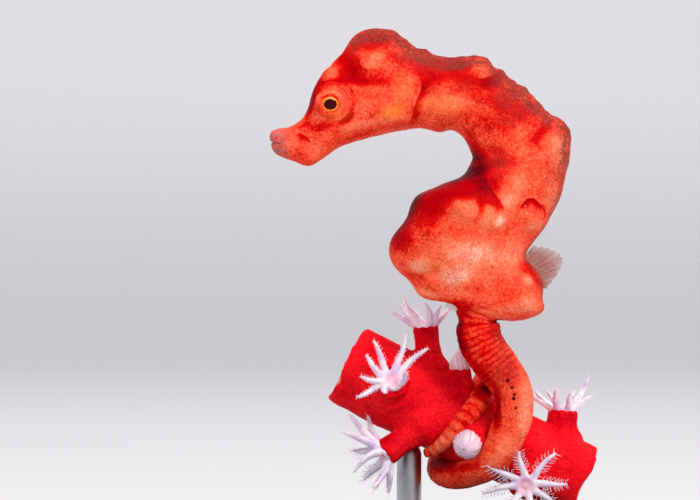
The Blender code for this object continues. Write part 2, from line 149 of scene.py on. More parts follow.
# Creases: points in side view, width, depth, height of the lip on the line's left.
CREASES = {
    "mouth_cleft": (((-4.9, 12.73), (-4.62, 12.72), (-4.44, 12.68)), 0.03, 0.055, 0.0),
    "nostril_fold": (((-3.88, 13.02), (-3.74, 12.95), (-3.62, 12.84)), 0.045, 0.03, 0.03),
    "gill_edge": (
        ((-0.47, 14.44), (-0.52, 14.2), (-0.58, 13.92), (-0.7, 13.58), (-0.73, 13.25)), 0.08, 0.016, 0.0,
    ),
    "crown_fold": (((-2.74, 14.56), (-2.3, 14.5), (-1.9, 14.45), (-1.4, 14.48)), 0.16, 0.035, 0.0),
    "chest_crease": (
        ((1.2, 12.2), (1.37, 11.74), (1.51, 11.4), (1.71, 11.06), (1.92, 10.8)), 0.09, 0.03, 0.03,
    ),
    "between_tubercles": (((1.1, 11.14), (1.12, 10.9), (1.06, 10.56)), 0.08, 0.034, 0.0),
    "jaw_fold": (((-2.6, 12.93), (-2.2, 12.99), (-1.9, 13.06)), 0.06, 0.022, 0.0),
    "belly_crease": (((-0.78, 9.02), (-0.42, 8.98), (-0.05, 9.12)), 0.11, 0.04, 0.0),
    "hip_crease": (((2.36, 9.22), (2.66, 9.02), (2.86, 8.7)), 0.1, 0.035, 0.0),
    "tail_root_fold": (((0.62, 7.66), (1.2, 7.62), (1.72, 7.72)), 0.05, 0.05, 0.0),
}

# Rounded knobs that stand higher than the swellings: side-view centre, radius, height.
KNOBS = {
    "crown_knob": ((-1.85, 14.98), 0.42, 0.06),
    "upper_back_knob": ((1.22, 14.66), 0.36, 0.06),
    "front_tubercle": ((0.7, 10.82), 0.45, 0.12),
    "middle_tubercle": ((1.52, 10.63), 0.52, 0.12),
    "rear_tubercle": ((2.6, 10.64), 0.38, 0.12),
    "neck_side": ((0.24, 13.82), 0.55, 0.04),
    "hump_knob": ((3.1, 12.7), 0.5, 0.07),
    "belly_lobe": ((-0.5, 9.3), 0.36, 0.06),
    "lower_lobe": ((-0.12, 8.66), 0.36, 0.05),
    "flank_lump": ((1.16, 9.64), 0.5, 0.04),
    "low_lump": ((0.46, 9.02), 0.42, 0.04),
    "hip_lump": ((2.48, 8.84), 0.26, 0.05),
    "seat_lump": ((2.44, 8.22), 0.4, 0.06),
    "cheek_lump": ((-2.06, 13.6), 0.4, 0.03),
    "brow_hollow": ((-3.16, 14.92), 0.26, -0.08),
    "upper_back_hollow": ((1.62, 14.92), 0.32, -0.07),
    "seat_hollow": ((3.14, 8.34), 0.56, -0.14),
    "notch": ((1.92, 7.6), 0.2, -0.05),
    "vent_swelling": ((0.62, 8.0), 0.3, 0.19),
}

# Curved folds: centre, radius, width, depth, and the angles that it runs between, in degrees.
ARCS = {
    "lid_fold": ((-3.02, 13.78), 0.275, 0.026, 0.014, 25, 160),
    "inner_brow_arc": ((-2.96, 13.81), 0.38, 0.028, 0.026, 15, 160),
    "middle_brow_arc": ((-2.95, 13.82), 0.46, 0.028, 0.03, 10, 150),
    "third_brow_arc": ((-2.94, 13.82), 0.535, 0.026, 0.028, 25, 140),
    "outer_brow_arc": ((-2.94, 13.83), 0.61, 0.03, 0.03, 30, 125),
    "eye_socket_edge": ((-2.94, 13.83), 0.6, 0.05, 0.022, -75, 35),
    "under_eye_arc": ((-2.98, 13.82), 0.42, 0.04, 0.012, 200, 330),
    "front_eye_arc": ((-2.96, 13.84), 0.5, 0.035, 0.016, 145, 215),
    "rear_tubercle_edge": ((2.58, 10.62), 0.44, 0.07, 0.02, 20, 165),
    "hump_edge": ((3.36, 12.76), 0.62, 0.1, 0.012, 120, 215),
}

# Patches of colour, painted shade and painted highlights: side-view centre, radii, tilt in degrees, and
# strength, darker below 0 and paler above.
# They mix the skin's own colour with painted shade where the body turns from the light and painted highlights
# on lit knobs.
HEAD_PATCHES = {
    "crown_light": ((-1.8, 15.0), (0.27, 0.18), 22, 0.5),
    "crown_light_front": ((-2.06, 14.92), (0.16, 0.24), 30, 0.2),
    "crown_side_red": ((-2.46, 14.92), (0.34, 0.5), 24, -0.98),
    "crown_front_red": ((-2.66, 15.0), (0.22, 0.44), 35, -0.45),
    "temple_red": ((-2.14, 14.42), (0.62, 0.13), -2, -0.6),
    "temple_low_red": ((-2.2, 14.66), (0.34, 0.2), 0, -0.32),
    "behind_light_red": ((-1.62, 14.66), (0.22, 0.13), 20, -0.22),
    "crown_red": ((-1.84, 15.52), (0.52, 0.2), 5, -1.1),
    "crown_back_red": ((-1.16, 15.1), (0.36, 0.22), -20, -0.45),
    "nape_red": ((-0.7, 14.84), (0.42, 0.24), -12, -0.62),
    "brow_light": ((-2.98, 14.66), (0.14, 0.12), 0, 0.75),
    "brow_edge_red": ((-2.9, 14.46), (0.34, 0.08), -8, -0.35),
    "brow_low_red": ((-3.14, 14.38), (0.22, 0.07), 30, -0.25),
    "nose_bridge_red": ((-3.54, 13.92), (0.1, 0.52), -15, -1.3),
    "eye_dome": ((-3.02, 14.06), (0.44, 0.2), 0, 0.65),
    "eye_dome_side": ((-2.66, 13.7), (0.2, 0.3), 0, 0.2),
    "under_eye_red": ((-3.02, 13.46), (0.36, 0.1), 0, -0.3),
    "lore_red": ((-3.22, 13.17), (0.28, 0.13), 12, -0.85),
    "lore_light": ((-3.38, 13.42), (0.16, 0.1), 20, 0.4),
    "bridge_red": ((-3.72, 13.18), (0.3, 0.16), 25, -0.45),
    "cheek_red": ((-2.56, 13.34), (0.26, 0.09), 35, -1.1),
    "nostril_red": ((-3.76, 12.84), (0.15, 0.1), -35, -0.8),
    "snout_light": ((-4.12, 12.72), (0.24, 0.22), 0, 0.3),
    "snout_low_light": ((-3.4, 12.5), (0.26, 0.22), 0, 0.4),
    "chin_red": ((-3.96, 12.24), (0.44, 0.08), -18, -0.05),
    "jaw_light": ((-2.38, 13.12), (0.4, 0.2), 25, 0.45),
    "jaw_side_light": ((-1.55, 13.34), (0.7, 0.13), 8, 0.5),
    "brow_side_red": ((-2.76, 14.6), (0.12, 0.15), 0, -0.45),
    "jaw_red": ((-2.26, 12.88), (0.4, 0.06), 12, -0.4),
    "cheek_light": ((-2.1, 13.66), (0.36, 0.44), 0, 0.3),
    "gill_light": ((-0.98, 14.2), (0.22, 0.5), -5, 0.25),
    "cheek_mark": ((-1.9, 13.44), (0.22, 0.06), 30, -0.5),
    "throat_red": ((-0.9, 13.24), (0.6, 0.11), 0, -0.1),
    "neck_red_top": ((0.2, 14.66), (0.66, 0.2), 4, -0.88),
    "neck_rim_red": ((0.14, 14.93), (0.54, 0.16), 0, -0.85),
    "neck_back_red": ((1.22, 13.96), (0.3, 0.22), -20, -0.3),
    "neck_deep_red": ((0.66, 14.82), (0.3, 0.13), 14, -1.0),
    "neck_side_red": ((-0.22, 14.36), (0.26, 0.32), 0, -1.0),
    "neck_band_red": ((0.92, 14.48), (0.5, 0.15), -8, -0.85),
    "neck_low_red": ((0.9, 14.2), (0.34, 0.2), -20, -0.35),
    "neck_middle_red": ((0.46, 14.36), (0.34, 0.2), -5, -0.22),
    "neck_glow": ((0.16, 13.8), (0.6, 0.28), 0, 0.65),
    "upper_back_light": ((1.24, 14.68), (0.3, 0.18), -10, 0.4),
    "upper_back_red": ((1.44, 14.36), (0.27, 0.13), 15, -1.5),
    "upper_back_low_red": ((1.6, 14.56), (0.12, 0.2), 0, -0.6),
    "back_red": ((1.86, 13.8), (0.62, 0.46), -35, -0.72),
    "back_low_red": ((1.36, 13.2), (0.7, 0.32), -20, -0.35),
    "back_far_red": ((2.56, 13.42), (0.52, 0.28), -38, -0.48),
    "back_light": ((2.36, 13.98), (0.16, 0.16), 0, 0.55),
    "back_streak": ((2.3, 13.14), (0.44, 0.1), 40, 0.3),
    # painted shadow in the throat's inner curve, under the head's arch
    "throat_curve_painted_shadow": ((1.04, 12.04), (0.26, 0.52), 4, -4.0),
    "throat_curve_painted_shade": ((1.48, 12.08), (0.38, 0.42), -20, -1.1),
    "throat_edge": ((0.88, 12.86), (0.14, 0.3), 25, -0.5),
    "hump_front_red": ((2.6, 12.74), (0.16, 0.28), -15, -0.6),
    "hump_top_pink": ((3.36, 13.24), (0.24, 0.12), -30, 0.2),
}
TRUNK_PATCHES = {
    "hump_red": ((2.94, 13.02), (0.3, 0.13), 45, -0.7),
    # painted light on the hump's lit side
    "hump_painted_light": ((3.34, 12.5), (0.34, 0.44), 0, 0.85),
    "flank_light": ((2.05, 11.46), (0.4, 0.56), -22, 0.65),
    "flank_low_light": ((1.98, 11.06), (0.3, 0.34), 0, 0.4),
    "back_flank_light": ((2.98, 11.9), (0.5, 0.5), 0, 0.15),
    # painted shadow and shade on the upper belly under the head
    "upper_belly_painted_shadow": ((0.62, 11.86), (1.0, 0.2), 16, -3.0),
    "upper_belly_painted_shade": ((0.88, 11.48), (0.9, 0.36), 6, -1.85),
    "above_tubercles_red": ((0.8, 11.24), (0.36, 0.13), 0, -0.75),
    "between_tubercles_red": ((1.2, 10.9), (0.09, 0.24), 8, -0.55),
    "throat_curve_low_red": ((1.86, 12.02), (0.34, 0.36), 0, -0.5),
    "chest_red_front": ((-0.1, 11.1), (0.46, 0.46), -30, -1.2),
    # painted shade on the belly's front, turned from the light
    "chest_front_painted_shade": ((-0.9, 10.86), (0.24, 0.9), -32, -2.6),
    "chest_front_red": ((-0.46, 10.62), (0.42, 0.6), -30, -0.65),
    "belly_front_red": ((-1.02, 10.0), (0.34, 0.34), 0, -1.05),
    "belly_front_glow": ((-0.56, 10.14), (0.22, 0.16), 0, 0.4),
    # painted highlights on the lit tops of the three tubercles
    "front_tubercle_painted_light": ((0.66, 10.83), (0.38, 0.4), 0, 0.58),
    "front_tubercle_red": ((0.06, 10.92), (0.2, 0.34), -20, -0.3),
    "middle_tubercle_painted_light": ((1.5, 10.66), (0.42, 0.4), 0, 0.95),
    "middle_tubercle_painted_highlight": ((1.64, 10.5), (0.11, 0.18), -38, 0.95),
    "rear_tubercle_painted_light": ((2.66, 10.4), (0.3, 0.2), 0, 0.8),
    "flank_brown_light": ((3.18, 11.15), (0.3, 0.5), 0, 0.75),
    "small_mark": ((1.88, 10.18), (0.04, 0.12), -12, -0.9),
    "belly_light_front": ((0.6, 9.74), (0.6, 0.32), 0, 0.5),
    "belly_light_middle": ((1.22, 9.58), (0.44, 0.36), 20, 0.55),
    "belly_light_low": ((0.5, 8.96), (0.48, 0.3), 35, 1.1),
    "belly_light_wide": ((0.9, 9.4), (1.4, 0.66), 0, 0.6),
    "belly_lobe_light": ((-0.52, 9.26), (0.28, 0.22), 0, 1.25),
    "lower_lobe_light": ((-0.3, 8.52), (0.38, 0.11), -12, 1.0),
    "lobe_side_light": ((0.06, 9.2), (0.26, 0.3), 0, 0.4),
    "low_belly_light": ((0.7, 8.46), (0.5, 0.17), -6, 0.45),
    "rear_belly_light": ((2.08, 9.74), (0.34, 0.42), 0, 0.6),
    "hip_front_light": ((1.98, 8.12), (0.34, 0.18), 8, 0.55),
    "lobe_back_light": ((-0.26, 9.02), (0.26, 0.18), 0, 0.5),
    "lobe_red": ((-0.08, 9.22), (0.12, 0.2), 0, -0.6),
    "lower_belly_red": ((-0.36, 8.84), (0.28, 0.13), 0, -0.3),
    "low_red": ((1.1, 8.6), (0.34, 0.16), -10, -0.3),
    # painted highlight on the hip
    "hip_painted_highlight": ((2.5, 8.86), (0.12, 0.17), 0, 1.1),
    "hip_light": ((2.5, 8.14), (0.36, 0.26), 20, 0.9),
    "fin_root_red": ((2.46, 9.38), (0.24, 0.12), -30, -0.5),
    "tail_root_light": ((1.5, 7.94), (0.45, 0.14), 0, 0.4),
}
NEAR_TAIL_PATCHES = {
    "vent_red": ((0.72, 8.04), (0.26, 0.4), 0, -0.7),
    # painted shade down the tail's front edge
    "tail_front_painted_shade": ((0.58, 7.45), (0.15, 0.8), 5, -1.9),
    "tail_upper_red": ((1.1, 7.1), (0.6, 0.6), 0, -0.28),
    "tail_fold_red": ((1.7, 7.46), (0.28, 0.2), -10, -0.9),
    "tail_shade": ((1.6, 6.5), (0.6, 0.45), -35, -0.3),
    # painted light down the tail's lit back edge
    "tail_back_painted_light": ((2.46, 5.2), (0.3, 1.05), 0, 0.95),
    # painted shadow on the tail's inner side beside the branch
    "tail_inner_painted_shadow": ((1.64, 5.3), (0.12, 0.5), 0, -2.2),
    "tail_low_light": ((1.95, 4.3), (0.35, 0.3), 0, 0.5),
    # painted shadow under the tail's loop
    "tail_under_painted_shadow": ((0.06, 3.74), (0.42, 0.26), -15, -2.3),
    "tail_loop_light": ((1.66, 3.92), (0.36, 0.24), 35, 0.65),
    # painted shade under the polyp at the loop
    "tail_loop_painted_shade": ((0.92, 3.66), (0.36, 0.12), 15, -0.9),
}
TAIL_END_PATCHES = {
    "tail_end_shade": ((1.34, 5.86), (0.32, 0.19), 40, -3.2),
    "tail_end_red": ((0.8, 5.18), (0.3, 0.24), 40, -0.4),
    "tail_tip_light": ((0.1, 4.34), (0.36, 0.26), 40, 0.75),
}
PATCHES = {
    Stretch.HEAD: HEAD_PATCHES,
    Stretch.TRUNK: TRUNK_PATCHES,
    Stretch.NEAR_TAIL: NEAR_TAIL_PATCHES,
    Stretch.TAIL_END: TAIL_END_PATCHES,
}

# Painted lines, among them painted shade and a painted lid shadow: stretch, points in side view, width on the
# line's left and on its right, strength.
STROKES = {
    "nostril_light": (Stretch.HEAD, ((-3.94, 13.06), (-3.74, 12.97), (-3.56, 12.81)), 0.04, 0.04, 0.8),
    "profile_maroon": (Stretch.HEAD, ((-3.3, 14.44), (-3.52, 14.1), (-3.62, 13.72)), 0.1, 0.1, -1.4),
    # painted shade along the front outline of the belly
    "belly_outline": (
        Stretch.TRUNK, ((1.1, 12.02), (0.2, 11.8), (-0.5, 11.5), (-0.84, 10.8), (-1.2, 10.3)), 0.2, 0.2, -1.0,
    ),
    "tubercle_side": (Stretch.TRUNK, ((2.9, 10.98), (2.97, 10.74), (2.94, 10.58)), 0.035, 0.035, -0.9),
    # painted shadow of the lid above the eye
    "lid_painted_shadow": (
        Stretch.HEAD, ((-3.22, 13.97), (-3.08, 14.04), (-2.92, 14.03), (-2.8, 13.93)), 0.03, 0.03, -1.1,
    ),
    "middle_tubercle_top": (Stretch.TRUNK, ((1.2, 11.06), (1.42, 11.04), (1.62, 10.94)), 0.05, 0.08, -0.8),
    "fin_root_line": (Stretch.TRUNK, ((2.44, 9.46), (2.62, 9.14), (2.84, 8.86)), 0.06, 0.06, -0.4),
    "back_line": (Stretch.HEAD, ((2.34, 12.9), (2.62, 13.18), (2.9, 13.44)), 0.05, 0.05, 0.35),
    # painted shade along the tail's front edge
    "tail_rim_painted_shade": (
        Stretch.NEAR_TAIL, ((0.52, 8.0), (0.54, 7.3), (0.7, 6.9), (1.1, 6.4), (1.5, 5.95)), 0.1, 0.14, -0.9,
    ),
}

# Sharp edges of painted shade and of the skin's colour, dark on the line's right, fading away from it, and a
# little paler just on its left as a painted highlight: stretch, points, fading distance, strength.
EDGES = {
    "chest_crease": (
        Stretch.TRUNK,
        ((1.14, 12.14), (1.26, 11.84), (1.42, 11.48), (1.6, 11.22), (1.78, 10.97), (1.9, 10.76)), 0.42, 1.5,
    ),
    "gill_edge": (
        Stretch.HEAD,
        ((-0.78, 13.22), (-0.7, 13.56), (-0.62, 13.84), (-0.5, 14.14), (-0.46, 14.36), (-0.46, 14.56)),
        0.22, 1.05,
    ),
    "rear_crescent": (
        Stretch.TRUNK,
        ((2.24, 10.86), (2.34, 11.0), (2.46, 11.14), (2.64, 11.18), (2.82, 11.02), (2.92, 10.8)), 0.18, 1.6,
    ),
    "front_tubercle_edge": (
        Stretch.TRUNK, ((1.02, 10.56), (1.1, 10.74), (1.1, 10.94), (1.0, 11.1)), 0.16, 0.5,
    ),
    "nostril": (Stretch.HEAD, ((-3.92, 13.02), (-3.72, 12.92), (-3.54, 12.74)), 0.11, 0.65),
    "upper_back_fold": (Stretch.HEAD, ((1.06, 14.46), (1.34, 14.52), (1.6, 14.6), (1.74, 14.74)), 0.2, 1.0),
    "hump_fold": (Stretch.HEAD, ((2.46, 12.66), (2.66, 12.94), (2.9, 13.18), (3.16, 13.32)), 0.2, 0.5),
    "crown_light_edge": (
        Stretch.HEAD, ((-1.66, 14.82), (-1.96, 14.74), (-2.16, 14.86), (-2.22, 15.1)), 0.16, -0.5,
    ),
    "orbit_edge": (Stretch.HEAD, ((-2.44, 14.14), (-2.36, 13.9), (-2.38, 13.62), (-2.54, 13.36)), 0.12, 0.4),
}

# Yellow glow: side-view centre, radii, strength.
GLOWS = {
    "cheek_glow": ((-1.28, 13.58), (0.28, 0.17), 0.55),
    "cheek_low_glow": ((-1.52, 13.46), (0.24, 0.12), 0.18),
    "under_eye_glow": ((-2.86, 13.46), (0.3, 0.16), 0.28),
    "gill_glow": ((-0.98, 14.1), (0.24, 0.4), 0.16),
    "neck_glow": ((0.1, 13.74), (0.56, 0.26), 0.28),
    "belly_glow": ((-0.1, 9.3), (0.5, 0.3), 0.2),
    "front_tubercle_glow": ((0.66, 10.74), (0.32, 0.3), 0.12),
    "middle_tubercle_glow": ((1.34, 10.54), (0.32, 0.3), 0.12),
    "rear_tubercle_glow": ((2.56, 10.48), (0.3, 0.28), 0.12),
}

# A brownish veil: side-view centre, radii, strength.
VEILS = {
    "crown_top": ((-1.5, 15.72), (0.9, 0.26), 1.0),
    "crown_back": ((-1.0, 15.34), (0.3, 0.34), 0.6),
    "nape": ((-0.3, 15.08), (0.7, 0.28), 1.0),
    "neck_top": ((0.5, 14.9), (0.6, 0.16), 0.7),
    "upper_back": ((1.9, 14.2), (0.5, 0.3), 0.3),
    "back": ((2.36, 13.96), (0.9, 0.34), 0.6),
    "back_side": ((2.0, 13.44), (0.5, 0.34), 0.35),
    "back_flank": ((3.24, 11.46), (0.3, 0.8), 0.45),
    "hump_top": ((3.34, 13.34), (0.4, 0.12), 0.45),
    "hip_edge": ((2.9, 9.0), (0.14, 0.4), 0.35),
    "throat_curve": ((1.74, 12.16), (0.36, 0.44), 0.5),
    "neck_middle": ((0.6, 14.3), (0.4, 0.26), 0.3),
    "tail_back": ((1.8, 7.3), (0.3, 0.5), 0.7),
    "tail_middle": ((1.9, 6.34), (0.44, 0.5), 0.55),
}

# Density of the dark specks: side-view centre, radii, amount added to the background's.
SPECKLED = {
    "crown": ((-1.6, 15.5), (0.9, 0.36), 0.8),
    "snout": ((-3.9, 12.6), (0.7, 0.5), 0.35),
    "chin": ((-3.0, 12.8), (0.6, 0.2), 0.3),
    "neck_top": ((0.1, 14.9), (0.9, 0.35), 0.9),
    "throat": ((0.2, 13.26), (1.2, 0.28), 0.9),
    "throat_side": ((1.3, 12.9), (0.5, 0.6), 0.7),
    "back": ((2.0, 13.6), (1.1, 0.8), 0.7),
    "back_flank": ((3.15, 11.36), (0.42, 0.8), 1.3),
    "crease_side": ((1.6, 11.6), (0.22, 0.4), 0.6),
    "belly_front": ((-0.4, 10.3), (0.7, 0.7), 1.0),
    "belly": ((0.8, 9.3), (1.6, 0.6), 0.3),
    "red_chest": ((0.6, 11.4), (0.9, 0.36), -0.5),
    "front_tubercle": ((0.74, 10.88), (0.4, 0.4), -0.5),
    "middle_tubercle": ((1.48, 10.62), (0.44, 0.4), -0.4),
    "rear_tubercle": ((2.64, 10.6), (0.36, 0.36), -0.4),
    "neck_glow": ((0.3, 13.95), (0.6, 0.24), -0.3),
    "crown_side": ((-2.4, 14.7), (0.5, 0.3), -0.3),
    "tail": ((2.2, 5.0), (0.6, 1.2), 0.5),
}

# Small knobs on the rim of the back: side-view centre, radius, height.
RIM_KNOBS = {
    "crown_point": ((-1.2, 15.86), 0.2, 0.075),
    "nape_point": ((-0.34, 15.36), 0.17, 0.12),
    "shoulder_point": ((1.76, 14.74), 0.15, 0.06),
    "upper_point": ((2.42, 14.28), 0.14, 0.035),
    "lower_point": ((2.96, 13.8), 0.12, 0.03),
    "hump_point": ((3.3, 13.4), 0.22, 0.04),
}

# Black dots down the tail: side-view centre, radius.
TAIL_DOTS = (
    ((1.94, 6.08), 0.055), ((2.05, 5.88), 0.05), ((2.12, 5.69), 0.05), ((2.1, 5.58), 0.055),
    ((2.16, 5.32), 0.045), ((2.19, 5.16), 0.03),
)


# ---------------- small helpers


def through(knots: Numbers, values: Numbers, places: Array) -> Array:
    """Smooth values on a cubic through the knots.

    Args:
        knots: the places where the values are known, rising.
        values: one value or row of values for each knot.
        places: where values are wanted.

    Returns:
        One value or row of values for each place.
    """
    knots, values = np.asarray(knots, float), np.asarray(values, float)
    slopes = np.gradient(values, knots, axis=0)
    i = np.clip(np.searchsorted(knots, places, side="right") - 1, 0, len(knots) - 2)
    span = knots[i + 1] - knots[i]
    t = np.clip((places - knots[i]) / span, 0, 1)
    shape = (-1,) + (1,) * (values.ndim - 1)
    t, span = t.reshape(shape), span.reshape(shape)
    return (
        values[i] * (1 + 2 * t) * (1 - t) ** 2
        + values[i + 1] * t * t * (3 - 2 * t)
        + slopes[i] * span * t * (1 - t) ** 2
        - slopes[i + 1] * span * t * t * (1 - t)
    )


def at_place(pairs: tuple[Flat, ...], place: float) -> float:
    """The value at one place, on a cubic through pairs of place and value."""
    return float(through(*zip(*pairs), np.array([place]))[0])


def ease(low: float, high: float, value: Array) -> Array:
    """A smooth step from 0 at low to 1 at high, or the other way round where low is the larger."""
    t = np.clip((value - low) / (high - low), 0, 1)
    return t * t * (3 - 2 * t)


def bell(value: Array) -> Array:
    """A bell curve, 1 high at 0."""
    return np.exp(-(value**2))


def wobble(points: Array, size: float, seed: float = 0.0) -> Array:
    """Smooth noise from -1 to 1 at each point.

    Args:
        points: an array of points, in millimetres.
        size: the size of its lumps, in millimetres.
        seed: a shift that makes another noise.

    Returns:
        One value for each point, in the points' own layout.
    """
    flat = points.reshape(-1, 3) / size + seed
    return np.array([noise.noise(p) for p in flat.tolist()]).reshape(points.shape[:-1])


def to_line(x: Array, z: Array, points: tuple[Flat, ...]) -> tuple[Array, Array, Array]:
    """How far points lie from a broken line.

    Args:
        x: their first coordinates.
        z: their second coordinates.
        points: the line's corners.

    Returns:
        The distances, 1 for points on the line's left and -1 on its right, and how far along the line
        its nearest point is, from 0 to 1.
    """
    best, side, along = np.full(x.shape, np.inf), np.zeros(x.shape), np.zeros(x.shape)
    for number, ((x0, z0), (x1, z1)) in enumerate(zip(points, points[1:])):
        dx, dz = x1 - x0, z1 - z0
        t = np.clip(((x - x0) * dx + (z - z0) * dz) / (dx * dx + dz * dz), 0, 1)
        ex, ez = x - x0 - t * dx, z - z0 - t * dz
        apart = np.hypot(ex, ez)
        side = np.where(apart < best, np.sign(dx * ez - dz * ex), side)
        along = np.where(apart < best, (number + t) / (len(points) - 1), along)
        best = np.minimum(best, apart)
    return best, side, along


def from_spot(points: Array, spot: Flat) -> Array:
    """How far points lie from a spot in side view."""
    return np.hypot(points[..., 0] - spot[0], points[..., 2] - spot[1])


def in_patch(x: Array, z: Array, centre: Flat, radii: Flat, tilt: float = 0.0) -> Array:
    """How much points lie in a soft oval.

    Args:
        x: their first coordinates.
        z: their second coordinates.
        centre: the oval's centre.
        radii: its two radii.
        tilt: its turn, in degrees.

    Returns:
        1 in the middle, falling to 0 outside.
    """
    c, s = math.cos(math.radians(tilt)), math.sin(math.radians(tilt))
    dx, dz = x - centre[0], z - centre[1]
    u, v = (dx * c + dz * s) / radii[0], (dz * c - dx * s) / radii[1]
    return np.exp(-((u * u + v * v) ** 1.4))


def over_patches(x: Array, z: Array, patches: dict[str, tuple]) -> Array:
    """The sum of soft ovals at points.

    Args:
        x: their first coordinates.
        z: their second coordinates.
        patches: the centre, radii, tilt if it has one, and strength of each oval.

    Returns:
        One number for each point.
    """
    return sum(
        strength * in_patch(x, z, centre, radii, *tilt) for centre, radii, *tilt, strength in patches.values()
    )


def within(at: Array, stretch: Stretch, soft: float = 0.3) -> Array:
    """How much rows at places along the body lie in a stretch of it.

    Args:
        at: the places.
        stretch: the stretch.
        soft: how far inside its ends the share has risen to 1.

    Returns:
        A column from 0 to 1, one number for each row.
    """
    low, high = stretch.value
    return (ease(low, low + soft, at) * ease(high, high - soft, at))[:, None]


def all_round(sides: int) -> Array:
    """Angles evenly round a full turn."""
    return np.linspace(0, 2 * math.pi, sides, endpoint=False)


def turns_from(turn: Array, angle: float) -> Array:
    """Angles measured from one that is given in degrees, from -pi to pi."""
    return (turn - math.radians(angle) + math.pi) % (2 * math.pi) - math.pi


def level_ring(radius: float | Array, angles: Array, up: float) -> Array:
    """Points on a level ring round the Z axis, at these angles and this height."""
    return np.stack([radius * np.cos(angles), radius * np.sin(angles), np.full(len(angles), up)], axis=1)


def rolled(points: Array) -> Shape:
    """A closed tube through rows of points: a grid rolled up, its seam joined and its ends filled.

    Args:
        points: rows of points round the tube, from one end to the other.

    Returns:
        The tube, its normals outwards.
    """
    rows, sides, _ = points.shape
    bm = bmesh.new()
    bmesh.ops.create_grid(bm, x_segments=sides, y_segments=rows - 1, size=1)
    bm.verts.ensure_lookup_table()
    for row, ring in enumerate(points.tolist()):
        for side in range(sides + 1):
            bm.verts[row * (sides + 1) + side].co = ring[side % sides]
    ends = [(row * (sides + 1) + sides, row * (sides + 1)) for row in range(rows)]
    bmesh.ops.weld_verts(bm, targetmap={bm.verts[last]: bm.verts[first] for last, first in ends})
    bmesh.ops.holes_fill(bm, edges=[e for e in bm.edges if e.is_boundary], sides=sides)
    bmesh.ops.triangulate(bm, faces=[f for f in bm.faces if len(f.verts) > 4])
    bmesh.ops.recalc_face_normals(bm, faces=bm.faces)
    return bm


def headings(path: Array) -> Array:
    """The way ahead at each point of a path, 1 long."""
    ahead = np.gradient(path, axis=0)
    return ahead / np.linalg.norm(ahead, axis=1, keepdims=True)


def swept(path: Array, radii: Array, sides: int, flatten: float = 1.0) -> Shape:
    """A closed tube round a path.

    Args:
        path: points down its middle.
        radii: its radius at each of them.
        sides: how many sides it has.
        flatten: its second radius as a share of the first.

    Returns:
        The tube.
    """
    ahead = headings(path)
    up = np.cross(ahead[0], (0.31, 0.87, 0.38))
    turn = all_round(sides)
    rows = []
    for point, forward, radius in zip(path, ahead, radii):
        up = up - forward * (up @ forward)
        up = up / np.linalg.norm(up)
        across = np.cross(forward, up) * flatten
        rows.append(point + (np.outer(np.cos(turn), up) + np.outer(np.sin(turn), across)) * radius)
    return rolled(np.array(rows))


def turned(profile: Iterable[Flat], middle: Flat, steps: int) -> Shape:
    """A shape turned round an upright axis.

    Args:
        profile: its outline, as distances from the axis and heights.
        middle: the axis's place on the floor.
        steps: how many steps it is turned in.

    Returns:
        The shape, its doubles merged.
    """
    x, y = middle
    bm = bmesh.new()
    chain = [bm.verts.new((x + out, y, up)) for out, up in profile]
    edges = [bm.edges.new(pair) for pair in zip(chain, chain[1:])]
    bmesh.ops.spin(
        bm, geom=[*chain, *edges], cent=(x, y, 0), axis=(0, 0, 1), dvec=(0, 0, 0),
        angle=2 * math.pi, steps=steps, use_merge=True, use_duplicate=False,
    )
    bmesh.ops.remove_doubles(bm, verts=bm.verts, dist=1e-5)
    bmesh.ops.recalc_face_normals(bm, faces=bm.faces)
    return bm


def disc(radius: float, low: float, high: float, sides: int, edge: float, steps: int) -> Shape:
    """A disc round the Z axis, its edges rounded.

    Args:
        radius: its radius.
        low: the height of its underside.
        high: the height of its top.
        sides: how many sides it has.
        edge: the radius of its edges.
        steps: how many steps they are rounded in.

    Returns:
        The disc.
    """
    bm = bmesh.new()
    bmesh.ops.create_cone(
        bm, cap_ends=True, segments=sides, radius1=radius, radius2=radius, depth=high - low,
        matrix=Matrix.Translation((0, 0, (high + low) / 2)),
    )
    rims = [e for e in bm.edges if abs(e.verts[0].co.z - e.verts[1].co.z) < 1e-6]
    bmesh.ops.bevel(bm, geom=rims, offset=edge, segments=steps, profile=0.5, affect="EDGES", material=-1)
    return bm


def joined(target: Shape, extra: Shape) -> None:
    """Adds one bmesh's shapes to another.

    Args:
        target: the bmesh that grows.
        extra: the shapes, which are freed.
    """
    carrier = bpy.data.meshes.new("carrier")
    extra.to_mesh(carrier)
    extra.free()
    target.from_mesh(carrier)
    bpy.data.meshes.remove(carrier)


def fused(bm: Shape, grain: float, rounds: int) -> Shape:
    """One smooth skin over closed shapes that overlap.

    Args:
        bm: the shapes, which are freed.
        grain: the size of the new skin's faces, in millimetres.
        rounds: how many times it is smoothed, which fills the corners between the shapes.

    Returns:
        The skin.
    """
    mesh = bpy.data.meshes.new("rough")
    bm.to_mesh(mesh)
    bm.free()
    rough = bpy.data.objects.new("rough", mesh)
    bpy.context.scene.collection.objects.link(rough)
    remesh = rough.modifiers.new("fuse", "REMESH")
    remesh.mode = "VOXEL"
    remesh.voxel_size = grain
    shown = rough.evaluated_get(bpy.context.evaluated_depsgraph_get())
    skin = bmesh.new()
    skin.from_mesh(shown.to_mesh())
    shown.to_mesh_clear()
    bpy.data.objects.remove(rough)
    bpy.data.meshes.remove(mesh)
    for _ in range(rounds):
        bmesh.ops.smooth_vert(
            skin, verts=skin.verts, factor=0.5, use_axis_x=True, use_axis_y=True, use_axis_z=True
        )
    return skin


